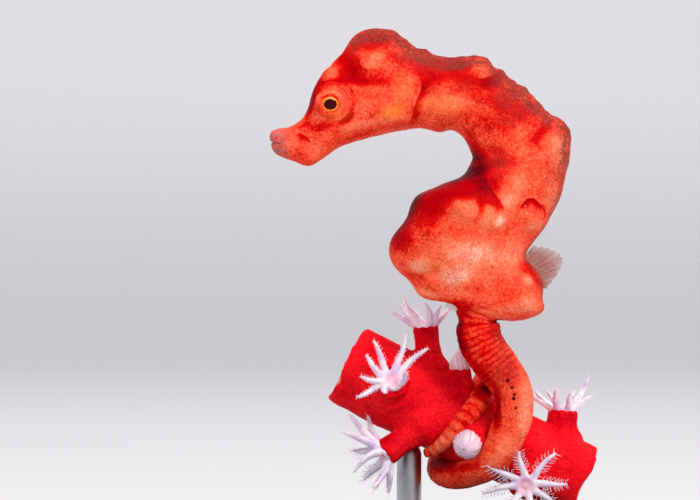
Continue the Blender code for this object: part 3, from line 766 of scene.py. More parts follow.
def in_metres(name: str, bm: Shape, material: Material) -> Piece:
    """Makes a smooth object of a bmesh in millimetres, which is freed.

    Args:
        name: the object's name.
        bm: its shape.
        material: its finish.

    Returns:
        The object, in the scene, its mesh in metres.
    """
    bmesh.ops.scale(bm, vec=(MM, MM, MM), verts=bm.verts)
    mesh = bpy.data.meshes.new(name)
    bm.to_mesh(mesh)
    bm.free()
    mesh.materials.append(material)
    mesh.shade_smooth()
    made = bpy.data.objects.new(name, mesh)
    bpy.context.scene.collection.objects.link(made)
    return made


def settle(
    name: str, bm: Shape, material: Material, replaced: tuple[str, ...] = (),
    smooth_below: float = 180.0,
) -> Piece:
    """Makes a piece of a bmesh, in metres, riding on the model's one body.

    Args:
        name: the piece's name.
        bm: its shape in millimetres, which is freed.
        material: its finish.
        replaced: the CAD nodes that it stands for.
        smooth_below: edges sharper than this many degrees stay sharp.

    Returns:
        The piece's object.
    """
    made = in_metres(name, bm, material)
    if smooth_below < 180:
        made.data.set_sharp_from_angle(angle=math.radians(smooth_below))
    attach(made, "root")
    if replaced:
        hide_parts(*replaced)
    log.info("%s: %d faces", name, len(made.data.polygons))
    return made


def srgb(red: int, green: int, blue: int) -> Colour:
    """A colour as the eye names it, from 0 to 255, made linear for a shader."""
    parts = (part / 255 for part in (red, green, blue))
    return (*(p / 12.92 if p <= 0.04045 else ((p + 0.055) / 1.055) ** 2.4 for p in parts), 1.0)


# ---------------- shader maths


class Wire:
    """An output socket of a material's nodes; arithmetic on it adds Math nodes."""

    def __init__(self, recipe: "Recipe", node: bpy.types.Node, output: int | str = 0) -> None:
        """Keeps the socket.

        Args:
            recipe: the recipe that it belongs to.
            node: its node.
            output: its name or number there.
        """
        self.recipe = recipe
        self.node = node
        self.socket = node.outputs[output]

    def other(self, output: int | str) -> "Wire":
        """Another output of the same node."""
        return Wire(self.recipe, self.node, output)

    def _with(self, operation: str, value: "Wire | float", swapped: bool = False) -> "Wire":
        """One Math node on this socket and another value."""
        pair = (value, self) if swapped else (self, value)
        return self.recipe.node("ShaderNodeMath", {"operation": operation}, {0: pair[0], 1: pair[1]})

    def __add__(self, value: "Wire | float") -> "Wire":
        """Sum."""
        return self._with("ADD", value)

    __radd__ = __add__

    def __sub__(self, value: "Wire | float") -> "Wire":
        """Difference."""
        return self._with("SUBTRACT", value)

    def __rsub__(self, value: "Wire | float") -> "Wire":
        """Difference from a plain number."""
        return self._with("SUBTRACT", value, swapped=True)

    def __mul__(self, value: "Wire | float") -> "Wire":
        """Product."""
        return self._with("MULTIPLY", value)

    __rmul__ = __mul__

    def at_most(self, value: "Wire | float") -> "Wire":
        """The smaller of the two."""
        return self._with("MINIMUM", value)

    def at_least(self, value: "Wire | float") -> "Wire":
        """The larger of the two."""
        return self._with("MAXIMUM", value)

    def below(self, value: "Wire | float") -> "Wire":
        """1 where it is less than the value, 0 elsewhere."""
        return self._with("LESS_THAN", value)

    def eased(self, low: float, high: float) -> "Wire":
        """A smooth step from 0 at low to 1 at high."""
        return self.recipe.node(
            "ShaderNodeMapRange",
            {"interpolation_type": "SMOOTHSTEP"},
            {"Value": self, "From Min": low, "From Max": high},
        )


class Recipe:
    """The nodes of one material."""

    def __init__(self, name: str) -> None:
        """Starts a material with its shader and output alone.

        Args:
            name: the material's name.
        """
        self.material = bpy.data.materials.new(name)
        self.material.use_nodes = True
        self.tree = self.material.node_tree
        self.shader = self.tree.nodes["Principled BSDF"]

    def node(self, kind: str, settings: dict | None = None, sockets: dict | None = None,
             output: int | str = 0) -> Wire:
        """Adds one node.

        Args:
            kind: its type.
            settings: its own settings, among them a ramp's stops.
            sockets: values or wires for its inputs.
            output: the output that is wanted.

        Returns:
            That output.
        """
        made = self.tree.nodes.new(kind)
        for key, value in (settings or {}).items():
            if key == "stops":
                ramp = made.color_ramp.elements
                for spare in range(len(value) - 2):
                    ramp.new(0.5 + spare * 1e-3)
                for element, (place, colour) in zip(ramp, value):
                    element.position = place
                    element.color = colour
            else:
                setattr(made, key, value)
        for key, value in (sockets or {}).items():
            self.feed(made.inputs[key], value)
        return Wire(self, made, output)

    def feed(self, socket: bpy.types.NodeSocket, value: "Wire | float | tuple") -> None:
        """Links a wire to a socket, or sets its value.

        Args:
            socket: the socket.
            value: the wire or value.
        """
        if isinstance(value, Wire):
            self.tree.links.new(value.socket, socket)
        else:
            socket.default_value = value

    def shade(self, **values: "Wire | float | tuple") -> None:
        """Feeds the shader's sockets, named with _ for spaces."""
        for key, value in values.items():
            self.feed(self.shader.inputs[key.replace("_", " ")], value)

    def place(self) -> Wire:
        """The place on the piece, in metres."""
        return self.node("ShaderNodeTexCoord", output="Object")

    def shifted(self, by: Solid, turn: Solid = (0.0, 0.0, 0.0), scale: Solid = (1.0, 1.0, 1.0)) -> Wire:
        """The place measured from a point, then turned and scaled.

        Args:
            by: the point, in metres.
            turn: angles round X, Y and Z, in radians.
            scale: factors along them.

        Returns:
            The new place.
        """
        moved = self.node("ShaderNodeVectorMath", {"operation": "SUBTRACT"}, {0: self.place(), 1: by})
        return self.node(
            "ShaderNodeMapping", {"vector_type": "POINT"}, {"Vector": moved, "Rotation": turn, "Scale": scale}
        )

    def attribute(self, name: str) -> Wire:
        """A number kept at each point of the piece."""
        return self.node("ShaderNodeAttribute", {"attribute_name": name}, output="Fac")

    def noise(self, size: float, detail: float = 2.0, rough: float = 0.5, where: Wire | None = None) -> Wire:
        """Cloudy noise from 0 to 1 with lumps of this size, in millimetres."""
        return self.node(
            "ShaderNodeTexNoise", None,
            {"Vector": where or self.place(), "Scale": 1 / (size * MM), "Detail": detail, "Roughness": rough},
        )

    def cells(self, size: float, where: Wire | None = None) -> Wire:
        """Cells of this size, in millimetres: how far the nearest one's point is, in cells."""
        return self.node(
            "ShaderNodeTexVoronoi", {"feature": "F1"},
            {"Vector": where or self.place(), "Scale": 1 / (size * MM)},
        )

    def dots(self, size: float, radius: float, share: Wire | float, where: Wire | None = None) -> Wire:
        """Round dots, one in some of the cells.

        Args:
            size: the cells' size, in millimetres.
            radius: the dots' radius, as a share of a cell.
            share: the share of cells that have one.
            where: the place, if not the piece's own.

        Returns:
            1 in a dot and 0 outside.
        """
        cells = self.cells(size, where)
        chance = self.node("ShaderNodeSeparateColor", None, {0: cells.other("Color")})
        return (1 - cells.eased(radius * 0.55, radius)) * chance.below(share)

    def ragged(self, size: float, reach: float) -> Wire:
        """The place, pushed about by noise.

        Args:
            size: the size of the noise's lumps, in millimetres.
            reach: how far it pushes, in millimetres.

        Returns:
            The new place.
        """
        cloud = self.node(
            "ShaderNodeTexNoise", None, {"Vector": self.place(), "Scale": 1 / (size * MM), "Detail": 1.0},
            output="Color",
        )
        return self.node(
            "ShaderNodeVectorMath", {"operation": "MULTIPLY_ADD"},
            {0: cloud, 1: (reach * MM,) * 3, 2: self.place()},
        )

    def mix(self, first: Wire | Colour, second: Wire | Colour, share: Wire | float) -> Wire:
        """A mixture of two colours."""
        return self.node(
            "ShaderNodeMix", {"data_type": "RGBA", "clamp_factor": True},
            {0: share, 6: first, 7: second}, output=2,
        )

    def ramp(self, value: Wire, stops: tuple[tuple[float, Colour], ...]) -> Wire:
        """A colour picked by a number from 0 to 1."""
        return self.node("ShaderNodeValToRGB", {"stops": stops}, {0: value})

    def bump(self, height: Wire, tall: float, under: Wire | None = None) -> Wire:
        """A normal from a height.

        Args:
            height: the height, from 0 to 1.
            tall: what 1 stands for, in millimetres.
            under: the normal beneath, if there is one.

        Returns:
            The normal.
        """
        sockets = {"Height": height, "Distance": tall * MM, "Strength": 1.0}
        if under:
            sockets["Normal"] = under
        return self.node("ShaderNodeBump", None, sockets)


# ---------------- finishes


@dataclass(frozen=True)
class SkinFinish:
    """Thin fleshy skin: orange red, mottled, with dark specks, a brownish clear rim along the back, and
    painted shade and highlights.
    """

    maroon: Colour = srgb(92, 2, 14)
    deep: Colour = srgb(184, 0, 6)
    red: Colour = srgb(216, 16, 12)
    orange: Colour = srgb(244, 74, 46)
    salmon: Colour = srgb(255, 122, 88)
    pale: Colour = srgb(255, 192, 166)
    yellow: Colour = srgb(255, 150, 58)
    dusk: Colour = srgb(132, 52, 46)
    lip: Colour = srgb(150, 108, 112)
    speck: Colour = srgb(112, 4, 8)
    black: Colour = srgb(34, 4, 10)

    def material(self) -> Material:
        """Builds the material.

        Returns:
            The material.
        """
        r = Recipe("skin")
        broad, fine, faint = r.noise(0.36, 3.0), r.noise(0.085, 2.0, 0.6), r.noise(0.04, 1.0)
        tone = r.attribute("tone") + (broad - 0.5) * 1.3 + (fine - 0.5) * 1.7 + (faint - 0.5) * 0.8
        # Painted shade in the creases, together with the tail's darker ring bands.
        tone = tone - r.attribute("hollow") * 1.1
        # Painted shade on the dark side of each sharp edge, and a faint painted highlight on its other side.
        past = r.attribute("edge")
        shaded = past.eased(-0.07, 0.07) * (1 - past.eased(0.1, 1.3))
        lit = past.eased(-0.55, -0.1) * (1 - past.eased(-0.12, 0.0))
        tone = tone - (shaded - lit * 0.22) * r.attribute("edge_strength")
        tone = tone.at_least(-1.05) + (tone + 1.05).at_most(0.0) * 0.36
        colour = r.ramp(
            tone * 0.25 + 0.5,
            (
                (0.0, self.maroon), (0.21, self.deep), (0.36, self.red),
                (0.5, self.orange), (0.7, self.salmon), (1.0, self.pale),
            ),
        )
        colour = r.mix(colour, self.yellow, r.attribute("warm"))
        dusky = r.attribute("dusk") * r.noise(0.22, 3.0).eased(0.1, 0.6)
        dusky = (dusky * (0.5 + r.noise(0.075, 2.0).eased(0.35, 0.65) * 0.5)).at_most(0.92)
        colour = r.mix(colour, self.dusk, dusky)
        colour = r.mix(colour, self.lip, r.attribute("lip") * r.noise(0.12, 2.0).eased(0.2, 0.6))
        speckled = r.attribute("speckled") * r.noise(0.45, 2.0).eased(0.2, 0.6)
        ragged = r.ragged(0.03, 0.03)
        specks = r.dots(0.058, 0.42, speckled * 0.52, ragged) * (0.2 + speckled * 0.38).at_most(0.8)
        grains = r.dots(0.045, 0.48, speckled * 0.85, ragged) * 0.4
        blotches = r.dots(0.15, 0.3, (speckled - 0.75) * 0.4, ragged) * 0.7
        colour = r.mix(colour, self.speck, specks.at_least(grains).at_least(blotches))
        # Small pale dots scattered at random.
        pale_dots = r.dots(0.4, 0.07, 0.14) * 0.5
        colour = r.mix(colour, self.pale, pale_dots)
        colour = r.mix(colour, self.black, r.attribute("blot"))
        height = r.noise(0.055, 2.0, 0.6) * 0.45 + (1 - r.cells(0.085)) * 0.4
        under = r.bump(r.noise(0.2, 3.0), 0.035)
        r.shade(
            Base_Color=colour,
            Roughness=0.3 + r.noise(0.12, 2.0) * 0.24,
            Normal=r.bump(height, 0.014, under),
            Subsurface_Weight=0.16,
            Subsurface_Radius=(1.0, 0.2, 0.08),
            Subsurface_Scale=0.00022,
            IOR=1.08,
        )
        return r.material


@dataclass(frozen=True)
class EyeFinish:
    """A wet ball: an oval maroon pupil in a thin gold ring, then red flesh."""

    centre: Solid
    pupil_radii: Flat = (0.186, 0.15)
    tilt: float = 26.0
    pupil: Colour = srgb(58, 2, 14)
    gold: Colour = srgb(255, 176, 60)
    flesh: Colour = srgb(206, 52, 24)
    name: str = "eye"

    def material(self) -> Material:
        """Builds the material.

        Returns:
            The material.
        """
        r = Recipe(self.name)
        across, up = (1 / (radius * MM) for radius in self.pupil_radii)
        at = r.shifted(
            tuple(c * MM for c in self.centre), (0.0, math.radians(-self.tilt), 0.0), (across, 0.0, up)
        )
        out = r.node("ShaderNodeVectorMath", {"operation": "LENGTH"}, {0: at}, output="Value")
        out = out + (r.noise(0.05, 1.0) - 0.5) * 0.1
        gold = r.mix(self.gold, srgb(238, 96, 30), r.noise(0.03, 2.0).eased(0.35, 0.7))
        colour = r.mix(self.pupil, gold, out.eased(0.94, 1.04))
        colour = r.mix(colour, self.flesh, out.eased(1.28, 1.42))
        sheen = r.noise(0.1, 2.0).eased(0.45, 0.75) * (1 - out.eased(0.3, 0.95))
        colour = r.mix(colour, srgb(84, 12, 34), sheen * 0.5)
        r.shade(
            Base_Color=colour,
            Roughness=0.1 + out.eased(0.9, 1.4) * 0.18,
            Coat_Weight=0.1,
            Coat_Roughness=0.03,
            IOR=1.1,
        )
        return r.material


@dataclass(frozen=True)
class FinFinish:
    """Clear brownish skin stretched between fine rays."""

    name: str
    membrane: Colour
    ray: Colour
    clear: float
    rays: float

    def material(self) -> Material:
        """Builds the material.

        Returns:
            The material.
        """
        r = Recipe(self.name)
        across, out = r.attribute("across"), r.attribute("out")
        wave = r.node("ShaderNodeMath", {"operation": "SINE"}, {0: across * (self.rays * 2 * math.pi)})
        rays = wave.eased(0.1, 0.98)
        cloudy = r.noise(0.2, 3.0)
        colour = r.mix(self.membrane, self.ray, rays * 0.35 + cloudy * 0.4)
        solid = self.clear + rays * self.clear * 0.12 + (cloudy - 0.5) * self.clear * 1.1
        r.shade(
            Base_Color=colour,
            Alpha=(solid * (1 - out.eased(0.55, 1.05) * 0.6)).at_most(0.95).at_least(0.03),
            Roughness=0.3 + cloudy * 0.2,
            Normal=r.bump(rays, 0.012),
            IOR=1.36,
        )
        return r.material


@dataclass(frozen=True)
class CoralFinish:
    """Soft coral skin: saturated red with a velvet grain, darker in its hollows, chalky where it is cut."""

    deep: Colour = srgb(150, 0, 18)
    red: Colour = srgb(216, 5, 26)
    bright: Colour = srgb(246, 27, 36)
    light: Colour = srgb(255, 82, 70)

    def material(self) -> Material:
        """Builds the material.

        Returns:
            The material.
        """
        r = Recipe("coral")
        broad = r.noise(0.9, 3.0, 0.55)
        grain, fine = r.noise(0.085, 2.0, 0.65), r.noise(0.045, 1.0, 0.6)
        tone = 0.5 + (broad - 0.5) * 0.8 + (grain - 0.5) * 0.6 + (fine - 0.5) * 0.45
        tone = tone - r.attribute("hollow") * 0.16 - r.attribute("rise") * 0.16
        colour = r.ramp(tone, ((0.08, self.deep), (0.36, self.red), (0.66, self.bright), (0.98, self.light)))
        colour = r.mix(colour, self.deep, r.dots(0.075, 0.42, 0.45, r.ragged(0.03, 0.03)) * 0.38)
        core = r.attribute("core")
        rings = r.noise(0.12, 3.0, 0.7)
        chalk = r.mix(srgb(232, 168, 150), srgb(204, 92, 78), rings.eased(0.35, 0.7))
        chalk = r.mix(chalk, self.deep, r.dots(0.17, 0.34, 0.6, r.ragged(0.06, 0.05)) * 0.8)
        colour = r.mix(colour, chalk, core)
        height = grain * 0.5 + (1 - r.cells(0.1)) * 0.5
        r.shade(
            Base_Color=colour,
            Roughness=0.5 + grain * 0.24,
            Normal=r.bump(height, 0.012, r.bump(r.noise(0.3, 3.0), 0.03)),
            Subsurface_Weight=0.15,
            Subsurface_Radius=(1.0, 0.12, 0.1),
            Subsurface_Scale=0.00035,
            IOR=1.1,
        )
        return r.material


@dataclass(frozen=True)
class PolypFinish:
    """Clear lilac-white flesh that turns pink towards the coral."""

    lilac: Colour = srgb(212, 190, 226)
    white: Colour = srgb(244, 232, 242)
    pink: Colour = srgb(238, 132, 150)

    def material(self) -> Material:
        """Builds the material.

        Returns:
            The material.
        """
        r = Recipe("polyp")
        cloudy = r.noise(0.34, 2.0, 0.5)
        colour = r.mix(self.lilac, self.white, cloudy.eased(0.3, 0.65))
        colour = r.mix(colour, srgb(255, 246, 250), r.attribute("bright") * 0.8)
        colour = r.mix(colour, self.pink, r.attribute("blush"))
        # Painted shade, purplish, in the folds of a shut bud.
        colour = r.mix(colour, srgb(176, 132, 176), r.attribute("hollow") * 0.35)
        grit = r.dots(0.06, 0.3, 0.3)
        colour = r.mix(colour, srgb(255, 252, 255), grit * 0.45)
        r.shade(
            Base_Color=colour,
            Roughness=0.34 + cloudy * 0.16,
            Normal=r.bump(r.noise(0.07, 2.0, 0.6), 0.006),
            Subsurface_Weight=0.4,
            Subsurface_Radius=(1.0, 0.75, 0.85),
            Subsurface_Scale=0.0003,
            IOR=1.37,
        )
        return r.material


@dataclass(frozen=True)
class StandFinish:
    """Satin black lacquer, a little clouded by handling along its side."""

    black: Colour = srgb(24, 25, 28)
    worn: Colour = srgb(92, 92, 96)

    def material(self) -> Material:
        """Builds the material.

        Returns:
            The material.
        """
        r = Recipe("stand")
        cloudy, dust = r.noise(2.2, 4.0, 0.6), r.noise(0.12, 2.0, 0.7)
        colour = r.mix(self.black, srgb(38, 39, 43), cloudy.eased(0.4, 0.7))
        wear = r.attribute("edge") * r.noise(0.8, 4.0, 0.7).eased(0.42, 0.74) * 0.16
        colour = r.mix(colour, self.worn, wear)
        colour = r.mix(colour, srgb(120, 118, 116), r.dots(0.42, 0.08, 0.3) * 0.5)
        r.shade(
            Base_Color=colour,
            Roughness=0.3 + cloudy * 0.16 + dust * 0.06,
            Metallic=wear * 0.8,
            Normal=r.bump(dust, 0.006),
            Coat_Weight=0.25,
            Coat_Roughness=0.2,
            IOR=1.5,
        )
        return r.material


@dataclass(frozen=True)
class FeltFinish:
    """Dark grey felt."""

    def material(self) -> Material:
        """Builds the material.

        Returns:
            The material.
        """
        r = Recipe("felt")
        fluff = r.noise(0.08, 4.0, 0.8)
        colour = r.mix(srgb(48, 50, 54), srgb(86, 88, 92), fluff.eased(0.35, 0.7))
        r.shade(Base_Color=colour, Roughness=0.9 + fluff * 0.1, Normal=r.bump(fluff, 0.03))
        return r.material


@dataclass(frozen=True)
class RodFinish:
    """Steel brushed round its length."""

    def material(self) -> Material:
        """Builds the material.

        Returns:
            The material.
        """
        r = Recipe("rod")
        streaks = r.noise(0.05, 3.0, 0.7, r.shifted((0.0, 0.0, 0.0), scale=(0.25, 0.25, 3.0)))
        cloudy = r.noise(0.7, 3.0)
        colour = r.mix(srgb(176, 178, 182), srgb(206, 208, 212), streaks)
        r.shade(
            Base_Color=r.mix(colour, srgb(150, 150, 154), cloudy.eased(0.5, 0.75) * 0.5),
            Metallic=1.0,
            Roughness=0.22 + streaks * 0.18 + cloudy * 0.06,
            Normal=r.bump(streaks, 0.003),
        )
        return r.material


@dataclass(frozen=True)
class PaperFinish:
    """Pale studio paper."""

    wall: Colour = srgb(232, 230, 232)
    floor: Colour = srgb(204, 202, 204)

    def material(self) -> Material:
        """Builds the material.

        Returns:
            The material.
        """
        r = Recipe("paper")
        grain = r.noise(60.0, 2.0, 0.5)
        rise = r.node("ShaderNodeSeparateXYZ", None, {0: r.place()}, output="Z").eased(0.0, 0.03)
        colour = r.mix(r.mix(self.floor, self.wall, rise), srgb(206, 205, 208), grain * 0.15)
        r.shade(Base_Color=colour, Roughness=0.85 + grain * 0.1)
        return r.material


# ---------------- the perch


def corners(made: Piece) -> Array:
    """The places of a piece's points.

    Args:
        made: the piece.

    Returns:
        One row for each point, in millimetres.
    """
    flat = np.empty(len(made.data.vertices) * 3)
    made.data.vertices.foreach_get("co", flat)
    return flat.reshape(-1, 3) / MM


def keep_numbers(made: Piece, **numbers: Array) -> None:
    """Keeps a number for each point of a piece, for its finish to read.

    Args:
        made: the piece.
        numbers: numbers in the order of its points.
    """
    for name, rows in numbers.items():
        kept = made.data.attributes.new(name, "FLOAT", "POINT")
        kept.data.foreach_set("value", rows.astype(np.float32).ravel())


@dataclass
class Branch:
    """The cut length of coral branch, with the stalks that its polyps stand on, as one skin."""

    middle: Solid = (0.9, 1.56, 4.74)
    fall: float = 27.0
    left: float = -4.0
    right: float = 3.7
    radii: tuple[Flat, ...] = BRANCH_RADII
    rows: int = 160
    sides: int = 128
    grain: float = 0.034
    grip: float = -0.14
    calyces: list["Calyx"] = field(default_factory=list)

    @property
    def axis(self) -> Array:
        """The way from its left end to its right end."""
        fall = math.radians(self.fall)
        return np.array([math.cos(fall), 0.0, -math.sin(fall)])

    @property
    def upper(self) -> Array:
        """The way from its axis to its upper side."""
        fall = math.radians(self.fall)
        return np.array([math.sin(fall), 0.0, math.cos(fall)])

    def radius(self, along: float) -> float:
        """Its radius at a place along it."""
        return at_place(self.radii, along)

    def point(self, along: float, angle: float, out: float) -> Array:
        """A point beside its axis.

        Args:
            along: the place along the branch.
            angle: the angle round it, 0 on its upper side and 90 at the front.
            out: the distance from its axis.

        Returns:
            The point.
        """
        turn = math.radians(angle)
        side = self.upper * math.cos(turn) + np.array([0.0, -1.0, 0.0]) * math.sin(turn)
        return np.array(self.middle) + self.axis * along + side * out

    def trunk(self) -> Shape:
        """Builds the bare branch: lumpy, swollen under its polyps, with mounds behind and ragged ends.

        Returns:
            The closed branch.
        """
        along = np.linspace(self.left, self.right, self.rows)
        turn = all_round(self.sides)
        side = np.outer(np.cos(turn), self.upper) + np.outer(np.sin(turn), (0.0, -1.0, 0.0))
        middle = np.array(self.middle) + np.outer(along, self.axis)
        radius = through(*zip(*self.radii), along)
        points = middle[:, None] + side[None] * radius[:, None, None]
        lift = 0.055 * wobble(points, 1.3, 3.0) + 0.022 * wobble(points, 0.5, 7.0)
        lift += 0.1 * (0.5 - 0.5 * np.sin(turn))[None] * wobble(points, 1.0, 21.0)
        lift += 0.05 * bell((along - self.grip) / 0.45)[:, None]
        for place, angle, size, height in MOUNDS:
            over, across = along[:, None] - place, turns_from(turn, angle)[None] * radius[:, None]
            apart = np.hypot(over, across) / size
            lobes = np.cos(LOBES * np.arctan2(across, over)) * bell((apart - 0.55) / 0.22)
            lift += height * (np.exp(-(apart**3)) - 0.5 * bell(apart / 0.3) - 0.2 * lobes)
        for calyx in self.calyces:
            across = turns_from(turn, calyx.angle)[None] * radius[:, None]
            apart = np.hypot(along[:, None] - calyx.along, across)
            lift += 0.07 * bell(apart / (calyx.radius * 2.2))
        for end, inwards in ((self.left, 1), (self.right, -1)):
            near = np.exp(-np.abs(along - end) / 0.22)[:, None]
            lift -= 0.1 * near**3
            ragged = 0.1 + 0.13 * wobble(points, 0.45, 17.0) + 0.05 * wobble(points, 0.16, 23.0)
            points = points + self.axis * (inwards * near * ragged.clip(0, 1))[:, :, None]
        return rolled(points + side[None] * lift[:, :, None])

    def build(self, coral: Material) -> None:
        """Builds the branch and its stalks.

        Args:
            coral: their finish.
        """
        shapes = self.trunk()
        for calyx in self.calyces:
            joined(shapes, calyx.shape(self))
        bm = fused(shapes, self.grain, 10)
        bm.normal_update()
        co = np.array([v.co[:] for v in bm.verts])
        out = np.array([v.normal[:] for v in bm.verts])
        from_middle = co - np.array(self.middle)
        along = from_middle @ self.axis
        depth = np.linalg.norm(from_middle - np.outer(along, self.axis), axis=1)
        ends = ease(0.45, 0.3, np.minimum(along - self.left, self.right - along))
        core = ends * ease(0.5, 0.8, np.abs(out @ self.axis)) * ease(1.06, 0.94, depth)
        fine = 0.012 * wobble(co, 0.22, 1.0) + 0.006 * wobble(co, 0.1, 4.0)
        broad = wobble(co, 0.5, 9.0)
        dent = -0.025 * core * (0.6 + 0.4 * wobble(co, 0.18, 6.0))
        co += out * (fine * (1 - core) + dent)[:, None]
        for vert, place in zip(bm.verts, co.tolist()):
            vert.co = place
        made = settle("perch_branch_skin", bm, coral, ("perch_branch",))
        rise = np.zeros(len(co))
        for calyx in self.calyces:
            foot, turn = calyx.stand(self)
            rim = np.array(foot + turn @ Vector((0, 0, calyx.length)))
            rise = np.maximum(rise, ease(0.75, 0.25, np.linalg.norm(co - rim, axis=1)))
        keep_numbers(made, core=core, rise=rise, hollow=(-broad - 0.1).clip(0, 1))


@dataclass
class Calyx:
    """The red stalk that a polyp stands on."""

    name: str
    along: float
    angle: float
    way: Solid
    radius: float
    length: float
    sides: int = 40
    rows: int = 24
    foot: float = 0.45

    def stand(self, branch: Branch) -> tuple[Vector, Matrix]:
        """Where it stands on the branch, and the turn that points Z along it."""
        foot = Vector(branch.point(self.along, self.angle, branch.radius(self.along)))
        return foot, Vector(self.way).to_track_quat("Z", "Y").to_matrix()

    def shape(self, branch: Branch) -> Shape:
        """Builds the stalk, flared at its foot and swollen at its rim.

        Args:
            branch: the branch that it stands on.

        Returns:
            The closed stalk.
        """
        foot, turn = self.stand(branch)
        t = np.linspace(0, 1, self.rows)
        height = -self.foot + (self.length + self.foot) * t
        flare = 0.75 * np.exp(-((height + 0.12) / 0.26).clip(0, 9))
        out = self.radius * (0.94 + flare + 0.14 * ease(0.6, 1.0, t))
        round_it = all_round(self.sides)
        lobes = np.cos(LOBES * round_it)
        rows = []
        for part, up, wide in zip(t, height, out):
            rows.append(level_ring(wide * (1 + 0.06 * part * part * lobes), round_it, up))
        rim = rows[-1]
        rim[:, 2] += 0.025 * (1 + lobes)
        for share, up in ((0.93, 0.04), (0.75, 0.05), (0.4, 0.02), (0.05, 0.0)):
            rows.append(rim * (share, share, 1) + (0, 0, up))
        return rolled(np.array(rows) @ np.array(turn).T + np.array(foot))

    def rim(self, branch: Branch) -> tuple[Array, Array, Array]:
        """The middle of its rim, the way it faces, and its turn as rows."""
        foot, turn = self.stand(branch)
        return np.array(foot + turn @ Vector((0, 0, self.length))), np.array(turn)[:, 2], np.array(turn)


@dataclass
class OpenPolyp:
    """An open polyp: a cup on its calyx and eight tapered tentacles, each fringed on both sides."""

    calyx: Calyx
    tips: tuple[Solid, ...]
    root_radius: float = 0.125
    tip_radius: float = 0.03
    cup: float = 0.31
    cup_sides: int = 32
    fringe_length: float = 0.03
    fringe: int = 14
    grain: float = 0.021
    steps: int = 24

    def tentacle(self, mouth: Array, axis: Array, tip: Array) -> Array:
        """Points down one tentacle's middle.

        Args:
            mouth: the middle of the polyp's cup.
            axis: the way that the polyp faces.
            tip: the tentacle's tip, from the mouth.

        Returns:
            The points, from inside the cup to the tip.
        """
        flat = tip - axis * (tip @ axis)
        flat = flat / (np.linalg.norm(flat) + 1e-9)
        start = mouth + flat * self.cup * 0.45
        bend = mouth + flat * self.cup * 1.0 + axis * 0.12 + tip * 0.25
        end = mouth + tip
        t = np.linspace(0, 1, self.steps)[:, None]
        path = start * (1 - t) ** 2 + 2 * bend * t * (1 - t) + end * t**2
        side = np.cross(axis, flat)
        return path + side * 0.11 * np.sin(3.6 * t + tip[0] * 7) * t

    def build(self, branch: Branch, polyp: Material) -> None:
        """Builds the polyp.

        Args:
            branch: the branch that it stands on.
            polyp: the polyp's finish.
        """
        name = self.calyx.name
        mouth, axis, turn = self.calyx.rim(branch)
        profile = ((0.6, -0.16), (0.86, -0.12), (0.98, -0.02), (1.02, 0.07), (0.98, 0.13), (0.8, 0.15),
                   (0.55, 0.12), (0.35, 0.08), (0.22, 0.11), (0.05, 0.12))
        rows = [level_ring(self.cup * share, all_round(self.cup_sides), up) for share, up in profile]
        shapes = rolled(np.array(rows) @ turn.T + mouth)
        paths = [self.tentacle(mouth, axis, np.array(reach)) for reach in self.tips]
        t = np.linspace(0, 1, self.steps)
        radii = self.root_radius * (1 - t) ** 0.75 + self.tip_radius * t
        radii[-1] *= 0.6
        for path in paths:
            joined(shapes, swept(path, radii, 14, 0.85))
        body = fused(shapes, self.grain, 3)
        for number, path in enumerate(paths):
            ahead = headings(path)
            for place in np.linspace(0.3, 0.97, self.fringe):
                n = min(int(place * (self.steps - 1)), self.steps - 2)
                side = np.cross(ahead[n], axis)
                side /= np.linalg.norm(side) + 1e-9
                for sign in (-1, 1):
                    stray = 0.35 * math.sin(place * 61 + number * 5 + sign)
                    out = side * sign + ahead[n] * (0.55 + stray) + axis * (0.25 + stray)
                    length = self.fringe_length * (1.1 - 0.6 * abs(place - 0.5) + 0.5 * stray)
                    reach = np.array([radii[n] * 0.5, radii[n] + length * 0.5, radii[n] + length])
                    hair = path[n] + out * reach[:, None] + ahead[n] * (0.2 * stray * reach[:, None])
                    joined(body, swept(hair, np.array([0.012, 0.008, 0.004]), 4))
        made = settle(f"{name}_crown", body, polyp, (name,))
        apart = np.linalg.norm(corners(made) - mouth, axis=1)
        below = (corners(made) - mouth) @ axis
        blush = 0.55 * ease(0.42, 0.1, apart) + 0.75 * ease(0.02, -0.14, below) * ease(0.6, 0.3, apart)
        keep_numbers(made, blush=blush.clip(0, 1))


